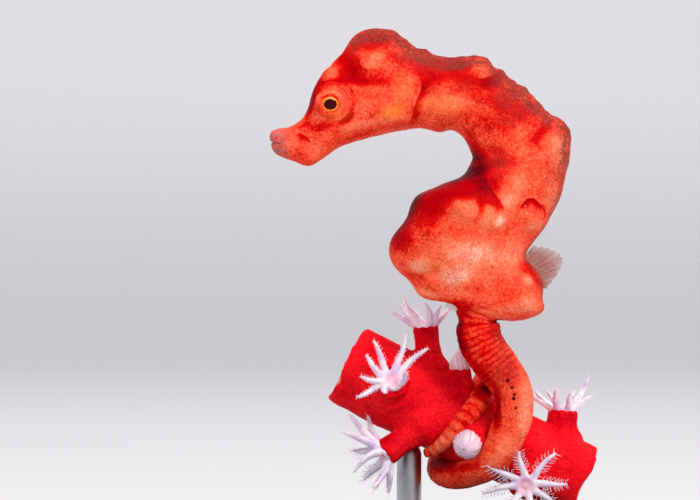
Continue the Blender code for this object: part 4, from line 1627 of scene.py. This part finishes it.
@dataclass
class ShutPolyp:
    """A shut polyp: its tentacles folded together into a ribbed bud."""

    calyx: Calyx
    head: float
    tall: float = 1.0
    seat: float = 0.45
    pinch: float = 1.0
    ribs: int = 15
    slant: float = 0.0
    tip: float = 0.006
    rows: int = 64
    sides: int = 240

    def build(self, branch: Branch, polyp: Material) -> None:
        """Builds the bud.

        Args:
            branch: the branch that it stands on.
            polyp: the bud's finish.
        """
        name = self.calyx.name
        top, _, turn = self.calyx.rim(branch)
        stop = math.acos((self.tip / self.head) ** (1 / self.pinch))
        lift = np.linspace(-0.4 * math.pi, stop, self.rows)
        round_it = all_round(self.sides)
        uneven = round_it + 0.09 * np.sin(3 * round_it + 1.0) + 0.06 * np.sin(7 * round_it + 2.0)
        twist = uneven[None] + 0.14 * np.sin(1.5 * lift)[:, None]
        folded = np.abs(np.sin(self.ribs * twist / 2)) ** 0.6
        folded = folded * (0.84 + 0.16 * np.sin(5 * twist + 0.7))
        comb = 0.5 + 0.5 * np.cos(3 * self.ribs * twist + 4 * lift[:, None])
        level = np.cos(lift)[:, None].clip(0, 1)
        fade = level**0.6
        out = self.head * level ** np.where(lift > 0, self.pinch, 1.0)[:, None]
        out = out * (1 + (0.1 * folded + 0.06 * comb - 0.12) * fade)
        rise = np.sin(lift)[:, None]
        up = self.head * (self.seat + self.tall * rise) * np.ones(self.sides)
        up += self.head * 0.05 * folded * (1 - fade)
        lean = self.slant * self.head * ease(-0.2, 1.0, rise)
        points = np.stack([out * np.cos(round_it) + lean, out * np.sin(round_it) - lean * 0.8, up], axis=2)
        points = points @ turn.T + top
        made = settle(f"{name}_bud", rolled(points), polyp, (name,))
        blush = 0.9 * (1 - ease(-0.7, 0.3, lift))[:, None] + 0.55 * (1 - folded) ** 1.5 + 0.22 * (1 - comb)
        blush = (blush * np.ones(out.shape)).clip(0, 1)
        # hollow: painted shade between the bud's folds
        keep_numbers(made, blush=blush, hollow=(1 - folded) ** 2, bright=comb)


# ---------------- the animal


@dataclass
class Body:
    """The body's surface, swept through rings from the mouth to the tail's tip."""

    branch: Branch
    mouth_dome: float = 0.14
    tip_dome: float = 0.12
    tail_forward: float = 0.1
    grip_clear: float = 0.06
    grip_step: float = 18.0
    swelling_reach: float = 2.2

    def __post_init__(self) -> None:
        """Works out the rings once."""
        self.rows, self.places = self.stations()
        self.named = dict(zip(RINGS, self.places))
        self.tail_root = self.named["tail_root"]

    def tail_path(self) -> list[Array]:
        """Points down the middle of the tail, from its root round the branch to its tip.

        Returns:
            The points, in order.
        """
        last = len(TAIL_FREE) - 1
        path = [np.array([x, -self.tail_forward * n / last, z]) for n, (x, z) in enumerate(TAIL_FREE)]
        down = sum(np.linalg.norm(b - a) for a, b in zip(path, path[1:]))
        angles, shifts = zip(*GRIP)
        turns = np.linspace(angles[0], angles[-1], round((angles[-1] - angles[0]) / self.grip_step) + 1)
        for angle, along in zip(turns, through(angles, shifts, turns)):
            out = self.branch.radius(along) + at_place(TAIL_RADII, down) + self.grip_clear
            point = self.branch.point(along, angle, out)
            down += np.linalg.norm(point - path[-1])
            path.append(point)
        return path

    def stations(self) -> tuple[Array, Array]:
        """The rings of the whole body.

        Returns:
            Rows of centre, half depth, half width and narrowing, and each row's place along the body.
        """
        rows = []
        for (dx, dz), (vx, vz), width, narrow in RINGS.values():
            back, belly = np.array([dx, 0, dz]), np.array([vx, 0, vz])
            rows.append([*(back + belly) / 2, *(back - belly) / 2, 0, width, 0, narrow])
        path = self.tail_path()
        up = np.array(rows[-1][3:6])
        down = 0.0
        for n, point in enumerate(path):
            ahead = path[min(n + 1, len(path) - 1)] - path[max(n - 1, 0)]
            ahead = ahead / np.linalg.norm(ahead)
            down += np.linalg.norm(point - path[n - 1]) if n else 0.0
            up = up - ahead * (up @ ahead)
            up = up / np.linalg.norm(up) * at_place(TAIL_RADII, down)
            rows.append([*point, *up, *np.cross(up, ahead), 0.0])
        rows = np.array(rows)
        steps = np.linalg.norm(np.diff(rows[:, :3], axis=0), axis=1)
        return rows, np.concatenate([[0.0], np.cumsum(steps)])

    def surface(self, at: Array, turn: Array) -> tuple[Array, Array, Array]:
        """The smooth skin.

        Args:
            at: places along the body.
            turn: angles round it, 0 on the back and pi on the belly.

        Returns:
            Rows of points, the way out from each, and how far each lies below the back's edge in side view.
        """
        found = through(self.places, self.rows, at)
        ends = np.minimum((at - self.places[0]) / self.mouth_dome, (self.places[-1] - at) / self.tip_dome)
        dome = np.sqrt(1 - (1 - np.clip(ends, 0.004, 1)) ** 2)[:, None]
        centre, deep, wide = found[:, :3], found[:, 3:6] * dome, found[:, 6:9] * dome
        over, across = np.cos(turn)[None, :, None], np.sin(turn)[None, :, None]
        pinch = 1 - found[:, 9][:, None, None] * over
        points = centre[:, None] + deep[:, None] * over + wide[:, None] * across * pinch
        along = np.gradient(points, axis=0)
        round_it = np.roll(points, -1, axis=1) - np.roll(points, 1, axis=1)
        out = np.cross(along, round_it)
        out /= np.linalg.norm(out, axis=2, keepdims=True) + 1e-12
        out *= np.sign(np.sum(out * (points - centre[:, None]), axis=2, keepdims=True) + 1e-9)
        lift = np.zeros(points.shape[:2])
        trunk = (at < self.tail_root)[:, None]
        for spot, radius, height in SWELLINGS.values():
            apart = from_spot(points, spot) / radius
            lift += np.where(trunk & (apart < self.swelling_reach), height * np.exp(-1.4 * apart**2), 0.0)
        below = np.linalg.norm(deep, axis=1)[:, None] * (1 - np.cos(turn)[None])
        return points + out * lift[:, :, None], out, below


@dataclass
class Skin:
    """The whole skin as one piece, with its folds, knobs, rings, colours, and painted shade and highlights.
    """

    body: Body
    sides: int = 140
    eye: Flat = (-3.005, 13.765)
    eye_opening: Flat = (0.256, 0.21)
    eye_tilt: float = 14.0
    lid_out: float = 0.808
    socket_out: float = 0.56
    brow_spine: tuple[Flat, float, float] = ((-2.97, 14.71), 0.07, 0.05)
    dotted: Flat = (1.5, 4.5)
    throat: float = 0.35
    # rings that go back inside the mouth: their share of the lips' size, and of the way to the throat
    inside: tuple[Flat, ...] = ((0.12, 0.9), (0.35, 0.8), (0.55, 0.45), (0.7, 0.15), (0.88, 0.02))
    # places along the body and the spacing of the rows there
    spacing: tuple[Flat, ...] = (
        (0.0, 0.016), (0.3, 0.024), (1.2, 0.024), (1.6, 0.021), (3.6, 0.0215), (5.4, 0.039),
        (8.0, 0.048), (13.0, 0.048), (13.6, 0.031), (16.2, 0.033), (17.0, 0.06), (20.0, 0.066),
        (21.0, 0.105), (24.0, 0.105), (25.0, 0.06), (28.6, 0.052), (29.0, 0.02),
    )

    def places(self) -> Array:
        """Places of the rows, close together where the skin has fine folds.

        Returns:
            The places along the body, rising.
        """
        end, at = self.body.places[-1] - 0.002, [0.024]
        places, steps = zip(*self.spacing)
        while at[-1] < end:
            at.append(at[-1] + float(np.interp(at[-1], places, steps)))
        return np.array([*at[:-1], end])

    def tail_rings(self, down: Array, points: Array) -> Array:
        """The ring creases of the tail.

        Args:
            down: distances down the tail, one for each row.
            points: the skin's points.

        Returns:
            1 in a crease, 0 between creases.
        """
        waver = 0.42 * wobble(points, 0.55, 4.0) + 0.12 * wobble(points, 0.2, 6.0)
        upper = (0.5 + 0.5 * np.cos(2 * math.pi * (down[:, None] / 0.165 + waver))) ** 6
        lower = (0.5 + 0.5 * np.cos(2 * math.pi * (down[:, None] / 0.27 + waver))) ** 4
        near = ease(-0.35, 0.05, down) * ease(2.25, 1.7, down)
        far = ease(5.4, 7.0, down) * (0.4 + 0.45 * ease(9.5, 11.0, down)) + 0.14 * ease(1.9, 2.5, down)
        patchy = 0.75 + 0.65 * wobble(points, 0.35, 11.0)
        return (upper * near[:, None] + lower * far[:, None]) * patchy.clip(0.15, 1.3)

    def folds(self, at: Array, points: Array) -> tuple[Array, Array]:
        """The creases in side view and down the tail.

        Args:
            at: places along the body.
            points: the skin's points.

        Returns:
            How far the skin rises at each point, and how deep in a crease it lies from 0 to 1.
        """
        x, z = points[..., 0], points[..., 2]
        lift, hollow = np.zeros(x.shape), np.zeros(x.shape)
        trunk = (at < self.body.tail_root + 0.4)[:, None]
        for line, width, depth, lip in CREASES.values():
            apart, side, _ = to_line(x, z, line)
            groove = bell(apart / width) * trunk
            ridge = bell((apart * side - 1.9 * width) / width) * trunk
            lift += ridge * lip * (apart < 4 * width) - groove * depth
            hollow += groove * min(1.0, depth / 0.05)
        for (cx, cz), radius, width, depth, start, stop in ARCS.values():
            apart = np.hypot(x - cx, z - cz) - radius
            angle = (np.degrees(np.arctan2(z - cz, x - cx)) - start + 30) % 360 - 30
            inside = ease(-12, 6, angle) * ease(stop - start + 12, stop - start - 6, angle)
            groove = bell(apart / width) * inside * trunk
            lift += 0.7 * depth * bell((apart + 2 * width) / width) * inside * trunk
            lift -= groove * depth
            hollow += groove * min(1.0, depth / 0.03)
        for spot, radius, height in KNOBS.values():
            apart = from_spot(points, spot) / radius
            lift += np.where(trunk & (apart < 1), height * (1 - apart.clip(0, 1) ** 2) ** 2, 0.0)
        rings = self.tail_rings(at - self.body.tail_root, points)
        # The second number is read as painted shade in the creases and as the tail's darker rings.
        return lift - 0.026 * rings, hollow * 0.55 + 0.85 * rings

    def roughen(self, at: Array, points: Array, below: Array) -> Array:
        """Small lumps all over, larger on the rim of the back, and the spines of the brow.

        Args:
            at: places along the body.
            points: the skin's points.
            below: how far each lies below the back's edge.

        Returns:
            How far the skin rises at each point.
        """
        calm = (ease(0.0, 0.5, at) * ease(0.0, 0.3, self.body.places[-1] - at))[:, None]
        rim = ease(0.35, 0.0, below) * (ease(4.0, 4.8, at) * ease(9.5, 8.0, at))[:, None]
        trunk = (at < self.body.tail_root)[:, None]
        lift = 0.016 * wobble(points, 0.5, 2.0) * np.where(trunk, 1.0, 0.6)
        lift += 0.008 * wobble(points, 0.2, 8.0) + 0.004 * wobble(points, 0.1, 12.0)
        lift += rim * (0.036 * wobble(points, 0.26, 5.0) + 0.022 * wobble(points, 0.12, 9.0))
        spot, size, height = self.brow_spine
        lift += height * bell(from_spot(points, spot) / size) * trunk
        for spot, radius, height in RIM_KNOBS.values():
            apart = from_spot(points, spot) / radius
            lift += height * bell(apart) * ease(0.3, 0.05, below) * trunk
        return lift * calm

    def open_eyes(self, points: Array) -> Array:
        """Opens the skin over each eyeball, with a rolled lid round the opening.

        Args:
            points: the skin's points.

        Returns:
            The points with the two openings sunk in.
        """
        c, s = math.cos(math.radians(self.eye_tilt)), math.sin(math.radians(self.eye_tilt))
        dx, dz = points[..., 0] - self.eye[0], points[..., 2] - self.eye[1]
        u, v = (dx * c - dz * s) / self.eye_opening[0], (dz * c + dx * s) / self.eye_opening[1]
        out = np.hypot(u, v)
        lid = self.lid_out + 0.016 * bell((out - 1.22) / 0.16) - 0.03 * ease(1.0, 2.0, out)
        sunk = self.socket_out + (self.lid_out - self.socket_out) * ease(0.8, 1.0, out)
        target = np.where(out < 1, sunk, lid)
        near = ease(1.95, 1.25, out)
        opened = points.copy()
        y = points[..., 1]
        opened[:, :, 1] = np.sign(y) * (near * target + (1 - near) * np.abs(y))
        return opened

    def sharp_edges(self, at: Array, points: Array) -> tuple[Array, Array]:
        """Where the sharp edges of painted shade and of the skin's colour run.

        Args:
            at: places along the body.
            points: the skin's points.

        Returns:
            How far each point lies past the nearest edge, in that edge's fading distances, and how strong
            that edge is there.
        """
        x = points[..., 0] + 0.025 * wobble(points, 0.22, 41.0)
        z = points[..., 2] + 0.025 * wobble(points, 0.22, 51.0)
        past, strength = np.full(x.shape, 2.0), np.zeros(x.shape)
        for stretch, line, fading, power in EDGES.values():
            apart, side, along = to_line(x, z, line)
            here = (apart / fading).clip(0, 2.0)
            nearer = here < np.abs(past)
            past = np.where(nearer, -side * here, past)
            taper = ease(0.0, 0.22, along) * ease(1.0, 0.78, along) * ease(1.8, 1.3, here)
            strength = np.where(nearer, power * within(at, stretch) * taper, strength)
        return past, strength

    def colours_and_painted_shade(self, at: Array, points: Array, below: Array) -> dict[str, Array]:
        """The colours of the skin, with its painted shade and highlights, as numbers at each point.

        Args:
            at: places along the body.
            points: the skin's points.
            below: how far each lies below the back's edge.

        Returns:
            Tone with painted shade and highlights, yellow glow, brown rim, grey lip, density of specks, black
            blots, and the sharp edges of painted shade.
        """
        x, z = points[..., 0], points[..., 2]
        x, z = x + 0.05 * wobble(points, 0.3, 21.0), z + 0.05 * wobble(points, 0.3, 31.0)
        tone = np.zeros(x.shape)
        for stretch, patches in PATCHES.items():
            tone += within(at, stretch) * over_patches(x, z, patches)
        for stretch, line, left, right, strength in STROKES.values():
            low, high = stretch.value
            inside = ((at > low) & (at < high))[:, None]
            apart, side, _ = to_line(x, z, line)
            tone += strength * inside * bell(apart / np.where(side > 0, left, right))
        edge, edge_strength = self.sharp_edges(at, points)
        near = (at < Stretch.NEAR_TAIL.value[1])[:, None]
        warm, veil = over_patches(x, z, GLOWS) * near, over_patches(x, z, VEILS) * near
        speckled = 0.62 + over_patches(x, z, SPECKLED)
        rim = ease(0.56, 0.1, below) * (ease(3.1, 3.6, at) * ease(9.8, 8.8, at))[:, None]
        rim += 0.5 * ease(0.2, 0.05, below) * (ease(9.0, 9.6, at) * ease(14.0, 13.0, at))[:, None]
        lip = ease(0.62, 0.25, at)[:, None] * (0.75 + 0.3 * wobble(points, 0.2, 3.0))
        blot = np.zeros(x.shape)
        start, stop = (self.body.tail_root + down for down in self.dotted)
        on_tail = ((at > start) & (at < stop))[:, None]
        for spot, radius in TAIL_DOTS:
            blot += ease(radius * 1.25, radius * 0.7, from_spot(points, spot)) * on_tail
        return {
            "tone": tone.clip(-6, 2), "warm": warm.clip(0, 1), "dusk": (rim * 1.3 + veil).clip(0, 1.4),
            "lip": lip.clip(0, 0.9), "speckled": (speckled + 0.9 * rim).clip(0.05, 1.8),
            "blot": blot.clip(0, 1), "edge": edge, "edge_strength": edge_strength,
        }

    def build(self, flesh: Material) -> None:
        """Builds the skin.

        Args:
            flesh: its finish.
        """
        even = all_round(self.sides)
        turn = even + 0.15 * np.sin(2 * even)
        at = self.places()
        points, out, below = self.body.surface(at, turn)
        lift, hollow = self.folds(at, points)
        lift += self.roughen(at, points, below)
        colour_numbers = self.colours_and_painted_shade(at, points, below)
        colour_numbers["hollow"] = hollow.clip(0, 1)
        points = self.open_eyes(points + out * lift[:, :, None])
        lips = points[0]
        middle = lips.mean(axis=0)
        throat = through(self.body.places, self.body.rows, np.array([self.throat]))[0, :3]
        inner = [middle + (lips - middle) * share + (throat - middle) * deep for share, deep in self.inside]
        points = np.concatenate([np.array(inner), points])
        for name, rows in colour_numbers.items():
            # The rows inside the mouth get full hollow: painted shade there.
            dark = 1.0 if name == "hollow" else 0.0
            first = rows[:1] if name == "lip" else np.full((1, self.sides), dark)
            colour_numbers[name] = np.concatenate([np.repeat(first, len(inner), axis=0), rows])
        made = settle(
            "skin", rolled(points), flesh,
            ("snout", "head", "coronet", "neck", "chest", "trunk", "belly",
             *(f"tail_{n}" for n in range(1, 7))),
        )
        keep_numbers(made, **colour_numbers)


@dataclass
class Eye:
    """One eyeball."""

    name: str
    out: float
    place: Flat = (-3.02, 13.82)
    radius: float = 0.34

    def build(self) -> None:
        """Builds the ball, with a slightly swollen pupil."""
        centre = (self.place[0], self.out, self.place[1])
        bm = bmesh.new()
        bmesh.ops.create_uvsphere(
            bm, u_segments=64, v_segments=48, radius=self.radius,
            matrix=Matrix.Translation(centre) @ Matrix.Rotation(math.pi / 2, 4, "X"),
        )
        way = math.copysign(1.0, self.out)
        for vert in bm.verts:
            flat = math.hypot(vert.co.x - centre[0], vert.co.z - centre[2])
            if (vert.co.y - centre[1]) * way > 0:
                vert.co.y += way * 0.012 * math.exp(-((flat / 0.15) ** 4))
        pupil = (centre[0] + 0.01, centre[1], centre[2] - 0.042)
        material = EyeFinish(pupil, name=f"eye_{self.name}").material()
        settle(f"eye_{self.name}_ball", bm, material, (f"eye_{self.name}",))


@dataclass
class Fin:
    """A thin fin stretched between its root line and its edge."""

    name: str
    root: tuple[Solid, ...]
    edge: tuple[Solid, ...]
    finish: FinFinish
    rays: int = 10
    ray_steps: int = 6
    rows: int = 14
    thick: float = 0.03
    ripple: float = 0.03

    def build(self) -> None:
        """Builds the fin."""
        across, out = self.rays * self.ray_steps, self.rows
        places = np.linspace(0, 1, across + 1)
        root = through(np.linspace(0, 1, len(self.root)), np.array(self.root), places)
        edge = through(np.linspace(0, 1, len(self.edge)), np.array(self.edge), places)
        bm = bmesh.new()
        bmesh.ops.create_grid(bm, x_segments=across, y_segments=out, size=1)
        bm.verts.ensure_lookup_table()
        for row in range(out + 1):
            reach = row / out
            for n, place in enumerate(places):
                wave = math.sin(place * self.rays * 2 * math.pi)
                point = root[n] + (edge[n] - root[n]) * reach * (1 + 0.03 * wave * reach)
                point = point + np.array([0, self.ripple * math.sin(place * 9 + reach * 2) * reach, 0])
                bm.verts[row * (across + 1) + n].co = point
        made = settle(f"{self.name}_web", bm, self.finish.material(), (self.name,))
        reaches = np.linspace(0, 1, out + 1)
        keep_numbers(made, across=np.tile(places, out + 1), out=np.repeat(reaches, across + 1))
        solid = made.modifiers.new("thickness", "SOLIDIFY")
        solid.thickness = self.thick * MM
        solid.offset = 0.0


# ---------------- the stand


@dataclass
class Stand:
    """The display stand: a lacquered disc on felt, and two steel rods that hold the branch."""

    branch: Branch
    radius: float = 5.8
    thick: float = 1.5
    edge: float = 0.25
    felt: float = 0.12
    rod: float = 0.35
    sharp: float = 35.0
    # steps inwards over the top, and how far each sinks or rises
    groove: tuple[Flat, ...] = ((0.55, 0.0), (0.06, -0.05), (0.06, 0.05), (1.6, 0.0))
    rods: dict[str, float] = field(default_factory=lambda: {"stand_rod_left": -1.9, "stand_rod_right": 2.9})

    def base(self, lacquer: Material) -> None:
        """Builds the disc, with a rounded edge and a fine groove near it.

        Args:
            lacquer: its finish.
        """
        bm = disc(self.radius, self.felt, self.thick, 160, self.edge, 5)
        top = [f for f in bm.faces if f.normal.z > 0.99 and len(f.verts) > 8]
        for inset, sink in self.groove:
            grown = bmesh.ops.inset_region(bm, faces=top, thickness=inset, depth=sink)
            top = [f for f in top if f.is_valid] or grown["faces"]
        made = settle("stand_base_disc", bm, lacquer, ("stand_base",), self.sharp)
        out = np.hypot(*corners(made)[:, :2].T)
        keep_numbers(made, edge=np.where(out > self.radius - self.edge * 1.1, 1.0, 0.15))

    def pad(self, felt: Material) -> None:
        """Builds the felt disc under the base.

        Args:
            felt: its finish.
        """
        bm = disc(self.radius - 0.2, 0.0, self.felt, 128, 0.03, 2)
        settle("stand_base_felt", bm, felt, (), self.sharp)

    def rod_at(self, name: str, along: float, steel: Material) -> None:
        """Builds one rod with a collar on the base and a tapered end in the branch.

        Args:
            name: the rod's name.
            along: the place along the branch that it holds.
            steel: its finish.
        """
        foot = np.array(self.branch.middle) + self.branch.axis * along
        under = foot[2] - self.branch.radius(along) / math.cos(math.radians(self.branch.fall))
        low = self.thick
        profile = (
            (0.0, low), (self.rod + 0.3, low), (self.rod + 0.3, low + 0.2), (self.rod + 0.24, low + 0.27),
            (self.rod + 0.05, low + 0.3), (self.rod, low + 0.36), (self.rod, under - 0.35),
            (self.rod * 0.92, under - 0.25), (self.rod * 0.6, under - 0.05), (self.rod * 0.5, under + 0.3),
            (0.0, under + 0.34),
        )
        settle(f"{name}_steel", turned(profile, foot[:2], steps=64), steel, (name,), self.sharp)

    def build(self) -> None:
        """Builds the whole stand."""
        self.base(StandFinish().material())
        self.pad(FeltFinish().material())
        steel = RodFinish().material()
        for name, along in self.rods.items():
            self.rod_at(name, along, steel)


# ---------------- the studio


@dataclass(frozen=True)
class Lamp:
    """One soft light: a disc of this size, in millimetres, and power, in watts, that points at its aim."""

    name: str
    place: Solid
    size: float
    power: float
    tint: Solid
    aim: Solid = (0.0, 0.0, 9.0)
    shines: bool = False

    def hang(self) -> None:
        """Hangs the light, hidden from the camera, and from reflections too unless it shines."""
        light = bpy.data.lights.new(self.name, "AREA")
        light.shape = "DISK"
        light.size = self.size * MM
        light.energy = self.power
        light.color = self.tint
        made = bpy.data.objects.new(self.name, light)
        made.location = Vector(self.place) * MM
        made.rotation_euler = (Vector(self.aim) * MM - made.location).to_track_quat("-Z", "Y").to_euler()
        made.visible_camera = False
        made.visible_glossy = self.shines
        bpy.context.scene.collection.objects.link(made)


LAMPS = (
    Lamp("key", (120, -150, 170), 80, 0.46, (1.0, 0.97, 0.94), shines=True),
    Lamp("fill", (-190, -170, 60), 160, 0.13, (0.94, 0.96, 1.0)),
    Lamp("low", (-30, -140, 9), 16, 0.018, (1.0, 0.96, 0.94), (0.0, 0.0, 5.0)),
    Lamp("top", (-20, 60, 260), 160, 0.26, (1.0, 0.98, 0.97)),
    Lamp("sweep", (0, 60, 520), 320, 1.45, (1.0, 1.0, 1.0), (0, 470, 40)),
)


@dataclass
class Studio:
    """A round sweep of pale paper, soft lights and the camera."""

    flat: float = 300.0
    wall: float = 560.0
    height: float = 290.0
    bends: int = 12
    eye: Solid = (-2.464, -150.0, 9.72)
    lens: float = 275.5

    def paper(self) -> None:
        """Builds the floor that curves up into a wall all round."""
        curve = [(0.0, 0.0), (self.flat, 0.0)]
        reach = self.wall - self.flat
        for turn in np.linspace(0, math.pi / 2, self.bends + 1)[1:]:
            curve.append((self.flat + reach * math.sin(turn), reach * (1 - math.cos(turn))))
        curve.append((self.wall, self.height))
        bm = turned(curve, (0.0, 0.0), steps=96)
        if sum(f.normal.z for f in bm.faces) < 0:
            bmesh.ops.reverse_faces(bm, faces=bm.faces)
        made = in_metres("paper", bm, PaperFinish().material())

    def camera(self) -> None:
        """Sets up the camera, level and square to the model's left side."""
        data = bpy.data.cameras.new("camera")
        data.sensor_width = 36.0
        data.lens = self.lens
        data.clip_start = 0.01
        data.clip_end = 5.0
        made = bpy.data.objects.new("camera", data)
        made.location = Vector(self.eye) * MM
        made.rotation_euler = (math.pi / 2, 0, 0)
        bpy.context.scene.collection.objects.link(made)
        bpy.context.scene.camera = made

    def build(self) -> None:
        """Builds the studio."""
        self.paper()
        for lamp in LAMPS:
            lamp.hang()
        world = bpy.data.worlds.new("studio")
        world.use_nodes = True
        sky = world.node_tree.nodes["Background"]
        sky.inputs["Color"].default_value = (0.92, 0.94, 1.0, 1.0)
        sky.inputs["Strength"].default_value = 0.42
        bpy.context.scene.world = world
        bpy.context.scene.view_settings.view_transform = "Standard"
        self.camera()


# ---------------- putting it together


def open_polyps() -> list[OpenPolyp]:
    """Lists the open polyps, each with the reach of its eight tentacles from its mouth.

    Returns:
        The polyps, not built yet.
    """
    return [
        OpenPolyp(
            Calyx("polyp_top_left", -1.85, 5.0, (-0.1, -0.05, 1.0), 0.34, 0.92),
            ((-1.02, -0.15, 0.52), (-0.6, -0.4, 0.92), (0.06, -0.5, 0.72), (0.42, -0.45, 0.66),
             (0.72, 0.2, 0.55), (0.3, 0.75, 0.6), (-0.35, 0.75, 0.62), (-0.8, 0.45, 0.7)),
        ),
        OpenPolyp(
            Calyx("polyp_front_left", -2.52, 90.0, (0.2, -1.0, 0.45), 0.4, 0.35),
            ((0.34, -0.35, 1.36), (0.96, -0.3, 1.02), (-0.58, -0.45, 1.16), (-0.78, -0.6, 0.7),
             (-0.9, -0.5, 0.14), (-1.05, -0.2, -0.38), (-0.3, -0.85, -0.22), (0.4, -0.9, 0.3)),
        ),
        OpenPolyp(
            Calyx("polyp_under_left", -1.35, 138.0, (-0.8, -0.25, -0.6), 0.36, 1.0),
            ((-1.02, -0.1, 1.1), (-1.18, -0.3, 0.6), (-0.5, 0.4, 1.05), (-0.92, -0.45, -0.52),
             (-0.36, -0.5, -1.02), (0.1, -0.15, -1.12), (-0.6, 0.35, -0.85), (-0.95, 0.4, 0.05)),
            root_radius=0.155,
            tip_radius=0.036,
            fringe_length=0.07,
        ),
        OpenPolyp(
            Calyx("polyp_front_right", 2.1, 124.0, (-0.05, -1.0, -0.15), 0.36, 0.8),
            ((-1.08, -0.25, 0.66), (-0.14, -0.3, 0.98), (0.84, -0.25, 0.92), (1.14, -0.2, 0.14),
             (-1.25, -0.15, -0.14), (-0.72, -0.3, -0.86), (0.18, -0.3, -1.0), (0.9, -0.25, -0.62)),
            fringe_length=0.11,
        ),
        OpenPolyp(
            Calyx("polyp_top_right", 2.4, 0.0, (0.06, 0.05, 1.0), 0.36, 0.5),
            ((-0.88, -0.2, 0.46), (-0.3, -0.55, 0.7), (0.3, -0.5, 0.62), (0.72, -0.1, 1.1),
             (0.85, 0.35, 0.5), (0.25, 0.8, 0.6), (-0.35, 0.72, 0.62), (-0.8, 0.35, 0.62)),
        ),
    ]


def shut_polyps() -> list[ShutPolyp]:
    """Lists the shut polyps.

    Returns:
        The polyps, not built yet.
    """
    return [
        ShutPolyp(
            Calyx("polyp_shut_above", -0.8, 26.0, (-0.02, -0.05, 1.0), 0.27, 0.32), 0.29, 1.7,
            pinch=1.8, ribs=14,
        ),
        ShutPolyp(
            Calyx("polyp_shut_grip", 0.24, 102.0, (-0.4, -1.0, -0.3), 0.42, 0.42), 0.42, 0.9, 0.28,
            ribs=23, slant=0.1,
        ),
    ]


def fins() -> list[Fin]:
    """Lists the four fins.

    Returns:
        The fins, not built yet.
    """
    brown = FinFinish("fin_dorsal", srgb(176, 106, 92), srgb(154, 84, 66), 0.62, 9)
    faint = FinFinish("fin_faint", srgb(240, 84, 50), srgb(250, 112, 78), 0.1, 10)
    found = [
        Fin("dorsal_fin",
            ((2.34, 0.0, 9.42), (2.44, 0.0, 9.16), (2.6, 0.0, 8.92), (2.8, 0.0, 8.66)),
            ((2.66, 0.02, 9.84), (3.12, 0.03, 9.74), (3.46, 0.0, 9.52), (3.4, -0.02, 9.16),
             (3.04, 0.0, 8.64)),
            brown),
        Fin("anal_fin",
            ((0.72, 0.0, 8.24), (0.58, 0.0, 8.34), (0.36, 0.0, 8.44)),
            ((0.52, 0.0, 7.98), (0.36, 0.0, 8.02), (0.18, 0.0, 8.14)),
            FinFinish("fin_anal", srgb(196, 70, 52), srgb(214, 86, 62), 0.22, 5), rays=5),
    ]
    for side, sign in (("left", -1), ("right", 1)):
        near, mid, far = sign * 0.8, sign * 0.93, sign * 0.99
        found.append(Fin(
            f"pectoral_fin_{side}",
            ((-0.4, near, 14.14), (-0.34, near, 13.96), (-0.33, near, 13.8), (-0.38, near, 13.62)),
            ((-0.08, far, 14.42), (0.22, far, 14.16), (0.3, far, 13.88), (0.22, far, 13.6),
             (-0.06, mid, 13.42)),
            faint, ripple=0.015,
        ))
    return found


def main() -> None:
    """Builds the studio and every piece of the model in order."""
    logging.basicConfig(level=logging.INFO, format="%(name)s: %(message)s")
    Studio().build()
    coral, polyp = CoralFinish().material(), PolypFinish().material()
    opened, shut = open_polyps(), shut_polyps()
    branch = Branch(calyces=[cluster.calyx for cluster in (*opened, *shut)])
    branch.build(coral)
    for cluster in (*opened, *shut):
        cluster.build(branch, polyp)
    Skin(Body(branch)).build(SkinFinish().material())
    for name, out in (("left", -0.52), ("right", 0.52)):
        Eye(name, out).build()
    for fin in fins():
        fin.build()
    Stand(branch).build()


if __name__ == "__main__":
    main()
